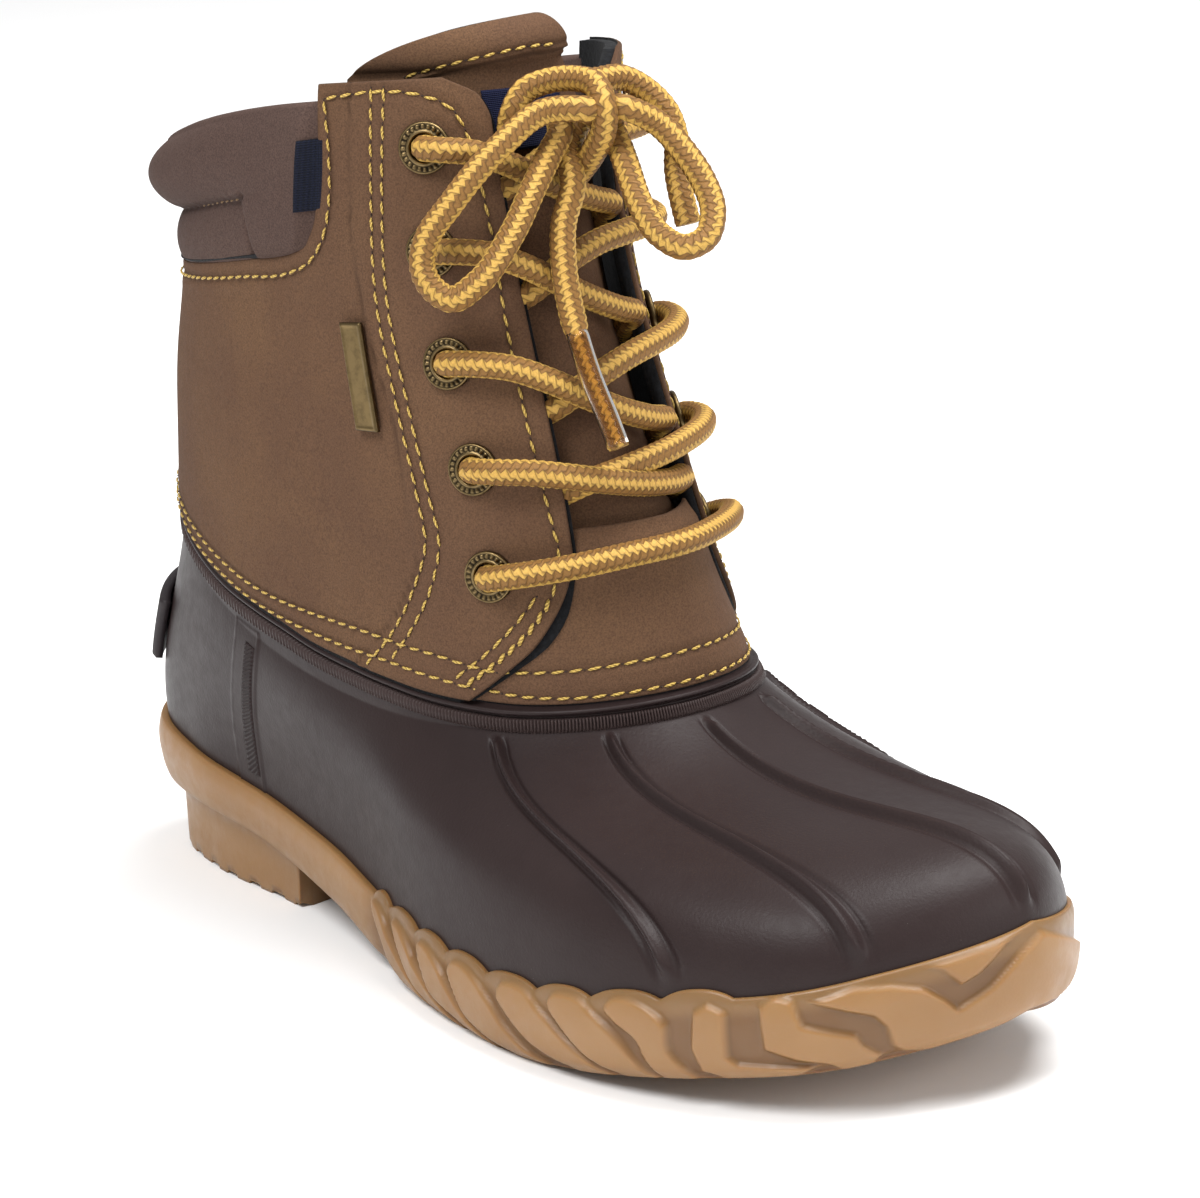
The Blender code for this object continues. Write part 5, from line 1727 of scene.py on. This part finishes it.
def build_backing(black):
    """Black backing and lining under the quarter, out to its cut edge."""
    u, v, _, keep = upper_grid(2.0)
    h = half(u)
    slant = np.exp(-((v - 0.150) / 0.060) ** 2)
    front = quarter_front(v)
    # The backing reaches out past the quarter's front edge, most near the slant, to show a black line there:
    # partly the lining's own black edge, partly painted shade under the cut edge.
    reach = (0.0008 + 0.0022 * slant) / PERIMETER
    pull = np.exp(-(h - front) * PERIMETER / 0.006)
    moved = h - reach * pull
    u = np.where(u > 0.5, 1 - moved, moved)
    v = np.where(v > 0.9, v - 0.004, v)
    thick = lifted(leather, u, v, 0.00050)
    keep = away_from_eyelets(thick, keep, 0.0041)
    inner = lifted(leather, u, v, -LEATHER)
    thing, _ = sheet("quarter_backing", thick, inner, [black], keep)
    dress(thing, slot="insole_cloth")


def build_vamp(skin, black, sewing):
    across = dense(0.150, 0.00085)
    u = -0.150 + 0.300 * across / across[-1]
    rise = dense((VAMP_TOP - LEATHER_START) * SHAFT, 0.00085, 0.0007)
    uu, share = np.meshgrid(u, rise / rise[-1])
    start = leather_start(uu)
    vv = start + (VAMP_TOP - start) * share
    flat = leather(uu, vv)
    seam = near(flat, sewing.tree())
    d = np.minimum((vv - start) * SHAFT, (VAMP_TOP - vv) * SHAFT)
    rng = np.random.default_rng(SEED + 1)
    lift = soft_waves(flat, rng, 0.00018)
    lift = lift + sewn_in(seam)
    lift = lift * np.where(np.abs(uu) > 0.10, 0.0, 1.0) - rounding(d, 0.0007)
    roll = soft_steps(vv, 0.265, VAMP_TOP)
    lift = lift - 0.0014 * roll
    outer = flat + normals(leather, uu, vv) * lift[..., None]
    inner = lifted(leather, uu, vv, -LEATHER + 0.0002)
    thing, used = sheet("vamp", outer, inner, [skin, black], inner_kind=1)
    put_attribute(thing, "edge", front_only(edge_shade(d, seam), used))
    dress(thing, slot="nubuck")


# Collar.
COLLAR_SEAM_SHARE = 0.44
COLLAR_UPRIGHT = 0.2620
COLLAR_TUCK = 0.004


def collar_low(u):
    """The collar's lower edge, tucked under the quarter."""
    return collar_seam(u) - COLLAR_TUCK


def collar_height(u, s):
    """Height up the leather at a share s of the collar."""
    low = collar_low(u)
    return low + (COLLAR_TOP - low) * s


def collar_front(s):
    """Where the quarter's edge crosses a share s of the collar."""
    low = EYESTAY_BACK[0][0]
    return eyestay_back(low + (COLLAR_TOP - low) * s)


def collar_shape(u, s):
    """Outer lift of the collar: a top roll that runs on into the front panel
    and a lower roll at the back, parted by a sewn seam."""
    h = half(u)
    heel = soft_steps(h, 0.17, 0.42)
    low = np.sin(np.clip(s / COLLAR_SEAM_SHARE, 0, 1) * math.pi)
    low = np.clip(low, 0, 1) ** 0.55 * (0.0018 + 0.0006 * heel)
    top = np.sin(np.clip((s - COLLAR_SEAM_SHARE) / 0.60, 0, 1) * math.pi)
    top = np.clip(top, 0, 1) ** 0.55 * (0.0026 + 0.0056 * heel)
    rolls = np.maximum(low, top)
    panel = np.sin(np.clip(s / 1.04, 0, 1) * math.pi)
    panel = np.clip(panel, 0, 1) ** 0.40 * 0.0042
    beyond = (h - COLLAR_UPRIGHT) * PERIMETER
    share = soft_steps(beyond, -0.0012, 0.0012)
    crease = np.exp(-(beyond / 0.0016) ** 2) * (1 - soft_steps(s, 0.40, 0.52))
    shape = panel * (1 - share) + rolls * share
    top_part = soft_steps(s, COLLAR_SEAM_SHARE - 0.03, COLLAR_SEAM_SHARE + 0.03)
    blend = soft_steps(h, 0.21, 0.34)
    smooth = panel * (1 - blend) + rolls * blend
    shape = smooth * top_part + shape * (1 - top_part)
    rise = soft_steps((h - collar_front(s)) * PERIMETER, -0.0010, 0.0055)
    return LAYER * 0.3 + (shape - 0.0026 * crease) * rise


def collar_face(u, v):
    """Lift of the collar's face over the leather's own face."""
    low = collar_low(u)
    return collar_shape(u, (v - low) / (COLLAR_TOP - low))


def collar_top(u, face, out):
    """Rows that roll over the collar's top to its lining."""
    up = np.array((0.0, 0.0, 1.0))
    reach = collar_shape(u, np.ones(len(u))) + LEATHER
    rows = []
    for angle in np.linspace(0.0, math.pi, 12)[1:]:
        share = (1 - math.cos(angle)) / 2
        rows.append(face - out * (reach * share)[:, None] + up * (math.sin(angle) * 0.0016))
    return np.stack(rows)


def collar_inside(u):
    """Rows of the padded lining, from the top down."""
    rows = []
    for s in np.linspace(0.93, 0.0, 16):
        pad = -LEATHER - 0.0035 * math.sin(s * math.pi) ** 0.5
        rows.append(lifted(leather, u, collar_height(u, s), pad))
    return np.stack(rows)


def build_collar(skin, lining):
    down = dense(0.062, 0.00095) / 0.062
    spread = np.linspace(0.0, 1.0, 340)
    rng = np.random.default_rng(SEED + 2)
    start = (collar_front(down) - 0.004)[:, None]
    u = start + (1 - 2 * start) * spread
    s = np.broadcast_to(down[:, None], u.shape)
    v = collar_height(u, s)
    lift = collar_shape(u, s)
    flat = leather(u, v)
    lift = lift + soft_waves(flat, rng, 0.00045)
    pucker = np.exp(-((s - COLLAR_SEAM_SHARE) / 0.045) ** 2) * soft_steps(half(u), 0.26, 0.28)
    lift = lift + pucker * 0.00016 * np.sin(u * 0.46 / 0.0056 * 2 * math.pi)
    out = normals(leather, u, v)
    face = flat + out * lift[..., None]
    outer_rows = np.concatenate([face, collar_top(u[-1], face[-1], out[-1])])
    rows = np.concatenate([outer_rows, collar_inside(u[-1])])
    columns = rows.shape[1]
    quads = grid_quads(len(rows), columns)
    kinds = np.zeros(len(quads), int)
    kinds[(len(outer_rows) + 1) * (columns - 1):] = 1
    close = np.stack([np.arange(columns - 1), (len(rows) - 1) * columns + np.arange(columns - 1)], 1)
    bottom = np.stack([close[:, 1], close[:, 1] + 1, close[:, 0] + 1, close[:, 0]], 1)[:, ::-1]
    left = [r * columns for r in range(len(rows))]
    right = [r * columns + columns - 1 for r in range(len(rows))]
    faces = quads.tolist() + bottom.tolist() + [left[::-1], right]
    kinds = np.concatenate([kinds, np.ones(len(bottom)), (0, 0)])
    thing = make_piece("padded_collar", rows.reshape(-1, 3), faces, [skin, lining], kinds)
    # Painted shade in the creases, along the seam between the rolls and down the upright seam, for the edge
    # attribute.
    beyond = (half(u) - COLLAR_UPRIGHT) * PERIMETER
    crease = np.exp(-((s - COLLAR_SEAM_SHARE) / 0.025) ** 2) * (beyond > 0)
    upright = np.exp(-(beyond / 0.0008) ** 2) * (s < 0.45)
    crease = np.maximum(crease, upright)
    shade = np.zeros(rows.shape[:2])
    shade[:len(face)] = crease * 0.8
    put_attribute(thing, "edge", shade)
    dress(thing, "collar", slot="collar_nubuck")
    return thing


# Tongue.
def tongue_lift(v):
    """Lifts of the tongue's front and back, padded at the top."""
    roll = np.sin(np.clip((v - 1.03) / 0.085, 0, 1) * math.pi) ** 0.6
    clear = between((0.0, 0.27, 0.34, 1.2), (2 * GAP, 2 * GAP, TONGUE_GAP, TONGUE_GAP), v)
    front = 0.0030 * roll - LEATHER - clear
    back = front - TONGUE_THICK - 0.0050 * roll
    return front, back


def build_tongue(skin, black):
    spread = np.linspace(-1.0, 1.0, 104)
    levels = np.concatenate([np.linspace(0.20, 0.98, 70), np.linspace(0.98, 1.115, 44)[1:]])
    outer = by_table(TONGUE_EDGES, levels, 1)[:, None]
    inner = by_table(TONGUE_EDGES, levels, 2)[:, None]
    u = np.where(spread > 0, outer, inner) * spread
    crown = 1 - 0.085 * spread[None, :] ** 2 * (levels[:, None] / 1.115) ** 6
    v = levels[:, None] * crown
    front, back = tongue_lift(v)
    rng = np.random.default_rng(SEED + 3)
    flat = leather(u, v)
    row = sorted(TONGUE_ROW)
    line = np.interp(u, [p[0] for p in row], [p[1] for p in row])
    sewn = np.exp(-((v - line) / 0.005) ** 2)
    edge_line = np.exp(-((v - line + 0.013) / 0.003) ** 2)
    step = soft_steps(v - line + 0.011, -0.002, 0.002) - 1.0
    front = front + soft_waves(flat, rng, 0.0003) - 0.0004 * sewn - 0.0004 * edge_line + 0.0010 * step
    lip = soft_steps(v, 0.300, 0.318)
    front = front + 0.0004 * lip
    outer = flat + normals(leather, u, v) * front[..., None]
    inner = lifted(leather, u, v, back)
    thing, used = sheet("padded_tongue", outer, inner, [skin, black], inner_kind=1, edge_kind=1)
    # The edge attribute: painted shade along the sewn row, and painted shadow under the lower edge of the
    # padded roll.
    put_attribute(thing, "edge", front_only(sewn * 0.4 + edge_line * 0.9, used))
    dress(thing, "tongue", slot="nubuck")
    return thing


# Small parts.
def patch_grid(u_span, v_span, size):
    rows, columns = size
    u = np.linspace(u_span[0], u_span[1], columns)[None, :] * np.ones((rows, 1))
    v = np.linspace(v_span[0], v_span[1], rows)[:, None] * np.ones((1, columns))
    return u, v


def flat_patch(
    name, u_span, v_span, size, face, base, thick, made_of, round_off=0.0003, extra=None, edge=None,
):
    """Thin piece on a face, with soft edges and a UV map in metres."""
    u, v = patch_grid(u_span, v_span, size)
    if edge is not None:
        u = u + edge(v)
    lift = base(u, v) if callable(base) else np.full(u.shape, base)
    middle = face(u, v)
    wide = np.linalg.norm(np.diff(middle, axis=1), axis=-1).sum(1).mean()
    tall = np.linalg.norm(np.diff(middle, axis=0), axis=-1).sum(0).mean()
    x = np.linspace(0, wide, size[1])[None, :] * np.ones((size[0], 1))
    y = np.linspace(0, tall, size[0])[:, None] * np.ones((1, size[1]))
    d = np.minimum(np.minimum(x, wide - x), np.minimum(y, tall - y))
    top = thick - rounding(d, round_off)
    if extra is not None:
        top = top + extra(x, y, wide, tall)
    outer = lifted(face, u, v, lift + top)
    inner = lifted(face, u, v, lift)
    thing, used = sheet(name, outer, inner, [made_of])
    uv = np.stack([np.tile(x.ravel(), 2), np.tile(y.ravel(), 2)], 1)
    put_uv(thing, uv[used])
    put_attribute(thing, "low", front_only(np.exp(-d / 0.0005) * 0.5, used))
    return thing


def build_trims(webbing, navy, navy_label, brass, badge):
    on_quarter = LAYER + 2 * GAP
    thing = flat_patch(
        "backstay_webbing", (0.487, 0.513), (0.09, 0.67), (60, 14), leather, on_quarter, WEBBING, webbing,
    )
    dress(thing, "backstay", slot="webbing")
    thing = flat_patch(
        "heel_patch", (0.462, 0.538), (0.26, 0.58), (30, 50), rubber, 2 * GAP, BADGE_THICK, badge, 0.0010,
    )
    dress(thing, "heel_badge", slot="badge_rubber")

    def bevel(x, y, wide, tall):
        inside = np.minimum(np.minimum(x, wide - x), np.minimum(y, tall - y))
        return -0.00018 * soft_steps(inside, 0.0006, 0.0009)

    thing = flat_patch(
        "side_metal_plate", (0.157, 0.1735), (0.457, 0.632), (60, 24), leather, on_quarter, PLATE_THICK,
        brass, 0.00025, bevel,
    )
    dress(thing, "side_plate", slot="antique_brass")

    def over_collar(u, v):
        return collar_face(u, v) + GAP

    thing = flat_patch(
        "side_ribbon", (-0.0060, 0.0092), (0.815, 0.932), (30, 20), leather, over_collar, 0.0006, navy,
        edge=eyestay_back,
    )
    dress(thing, "side_tab", slot="navy_ribbon")

    def over_tongue(u, v):
        return tongue_lift(v)[0] + 3 * GAP

    thing = flat_patch(
        "tongue_patch", (-0.012, 0.054), (0.885, 0.992), (24, 50), leather, over_tongue, WEBBING * 0.6,
        navy_label, 0.0002,
    )
    dress(thing, "tongue_label", slot="navy_ribbon")


def eyelet_frame(u, v):
    place = lifted(leather, np.array(u), np.array(v), np.array(LAYER))
    out = normals(leather, np.array(u), np.array(v))
    along = np.cross(out, (0.0, 0.0, 1.0))
    along = along / np.linalg.norm(along)
    return place, along, np.cross(out, along), out


def eyelet_profile():
    """Radius, height and darkness round the section of an eyelet."""
    top = 2 * GAP + EYELET_FLANGE
    hole, flange = EYELET_HOLE, EYELET_RADIUS
    return (
        (hole, -0.0030, 0.6), (hole, top - 0.0007, 0.5), (hole + 0.0001, top - 0.0002, 0.2),
        (hole + 0.0004, top + 0.0001, 0.0), (hole + 0.0008, top, 0.2), (hole + 0.0010, top - 0.00028, 1.0),
        (hole + 0.0013, top - 0.00030, 1.0), (hole + 0.0017, top - 0.00028, 1.0),
        (hole + 0.0020, top - 0.00028, 1.0), (flange - 0.0006, top - 0.00030, 1.0),
        (flange - 0.0004, top - 0.00012, 0.1), (flange - 0.0002, top - 0.00022, 0.0),
        (flange, top - 0.0006, 0.3), (flange - 0.0001, 0.0002, 0.7),
        (hole + EYELET_WALL, 0.0001, 0.8), (hole + EYELET_WALL, -0.0030, 0.8),
    )


def build_eyelets(brass):
    """Turned rings with small ticks round the flange."""
    sides = 96
    turn = np.arange(sides) * 2 * math.pi / sides
    for side, name in ((1, "outer"), (-1, "inner")):
        for k, (u, v) in enumerate(EYELETS):
            place, first, second, out = eyelet_frame(side * u, v)
            rows, low = [], []
            for index, (radius, height, shade) in enumerate(eyelet_profile()):
                tick = np.zeros(sides)
                if 5 < index < 9:
                    tick = np.where(np.arange(sides) % 4 < 2, 0.00026, 0.0)
                level = height + tick
                rows.append(
                    place
                    + first * (np.cos(turn) * radius)[:, None]
                    + second * (np.sin(turn) * radius)[:, None]
                    + out * level[:, None]
                )
                low.append(np.where(tick > 0, 0.1, shade))
            rows = np.stack(rows + rows[:1])
            quads = grid_quads(len(rows), sides, closed=True)
            count = (len(rows) - 1) * sides
            quads[quads >= count] -= count
            thing = make_piece(
                f"eyelet_{name}_{k + 1}_ring", rows[:-1].reshape(-1, 3), quads.tolist(), [brass],
            )
            put_attribute(thing, "low", np.concatenate(low))
            dress(thing, f"eyelet_{name}_{k + 1}", slot="antique_brass")


def build_insole(cloth):
    columns = 240
    u = np.arange(columns) / columns
    out = sole_out(u)
    flat = sole(u) - out * (BAND_WALL + 2 * GAP)
    floor = band(u, 1) + SOLE_FLOOR + GAP
    rows = []
    for set_in, share in ((0.0, 0.0), (0.0, 0.7), (0.0006, 0.93), (0.0018, 1.0)):
        height = floor + INSOLE_THICK * share
        rows.append(np.concatenate([flat - out * set_in, height[:, None]], -1))
    ring_rows = np.stack(rows)
    points = [ring_rows.reshape(-1, 3)]
    faces = grid_quads(4, columns, closed=True)[:, ::-1].tolist()
    start = 4 * columns
    for row, turned in ((3, True), (0, False)):
        inside = cap_points(ring_rows[row], 9)
        points.append(inside)
        faces += cap_faces(row * columns, columns, 9, start, turned)
        start += len(inside)
    thing = make_piece("insole_pad", np.concatenate(points), faces, [cloth])
    dress(thing, "insole", slot="insole_cloth")


THREAD_RISE = 0.00005


def near_rim(u, v):
    """Lift of the rows near the rim: on the quarter, or the vamp in front."""
    return np.where(half(u) > quarter_front(v), LAYER + THREAD_RISE, THREAD_RISE)


def sew_all():
    """All the sewn rows of the upper."""
    sewing = Sewing()
    for side in (1, -1):
        for row in (STAY_ROW_A, STAY_ROW_B, THROAT_ROW, SLANT_ROW_B, TOP_ROW, BACK_ROW):
            sewing.sew(row, LAYER + THREAD_RISE, side)
        sewing.sew(SLANT_ROW_A, LAYER + 0.0001, side, pitch=0.0034, gap=0.0003, radius=0.00046, lean=0.0005)
        for row in (LOW_ROW, HIGH_ROW):
            sewing.sew(row, near_rim, side)
    roll = [(u, float(collar_height(u, COLLAR_SEAM_SHARE))) for u in np.linspace(0.272, 0.500, 9)]
    for side in (1, -1):
        sewing.sew(
            roll, lambda u, v: collar_face(u, v) + 0.0002, side,
            pitch=0.0030, gap=0.0011, radius=0.00028, kinds=(2, 1),
        )
    sewing.sew(TONGUE_ROW, lambda u, v: tongue_lift(v)[0] + 0.0002, 1, pitch=0.0036)
    return sewing


add_camera()
add_world()
for light in LIGHTS:
    add_light(*light)

LACE_CORD = lace_material()
build_bow(LACE_CORD)
build_strands(LACE_CORD)

NUBUCK = nubuck("brown nubuck", srgb(95, 70, 53), srgb(114, 86, 61), srgb(60, 44, 34))
COLLAR_NUBUCK = nubuck("collar nubuck", srgb(81, 64, 58), srgb(94, 76, 68), srgb(48, 38, 35), 0.4)
LINING = black_cloth("black lining")
SHELL_RUBBER = shell_rubber()
build_shell(SHELL_RUBBER)
# The ribs' rubber is lighter than the shell's: painted light, since the ribs face down and would otherwise
# render darker than the rest of the rubber.
build_knurls(shell_rubber("rib rubber painted lighter", (52, 41, 40), (64, 52, 50)))
build_post(SHELL_RUBBER)
build_felt(LINING)
build_piping(LINING)
build_outsole(gum_rubber())
SEWING = sew_all()
build_upper(NUBUCK, LINING, SEWING)
build_backing(LINING)
build_vamp(NUBUCK, LINING, SEWING)
# The second thread material is painted shade, for the dark needle holes.
THREADS = [thread(), plain_dark("needle hole shade", (46, 33, 26)), plain_dark("tan thread", (112, 88, 62))]
STITCHES = SEWING.piece("stitches", THREADS)
dress(STITCHES, slot="rope_lace")
build_collar(COLLAR_NUBUCK, LINING)
build_tongue(NUBUCK, LINING)
build_trims(
    woven("black webbing", srgb(14, 14, 16), srgb(44, 44, 48), 0.0011),
    woven("navy ribbon", srgb(4, 7, 18), srgb(14, 19, 40)),
    woven("navy label", srgb(8, 12, 34), srgb(20, 27, 62), 0.0004),
    old_brass("plate brass"),
    plain_dark("badge rubber", (34, 28, 30), 0.5),
)
build_eyelets(old_brass("eyelet brass"))
build_insole(black_cloth("insole cloth", (24, 24, 27), (60, 60, 66)))

FLOOR_CORNERS = [(-3, -3, 0), (3, -3, 0), (3, 3, 0), (-3, 3, 0)]
FLOOR = make_piece("floor", FLOOR_CORNERS, [[0, 1, 2, 3]], [floor_material()])
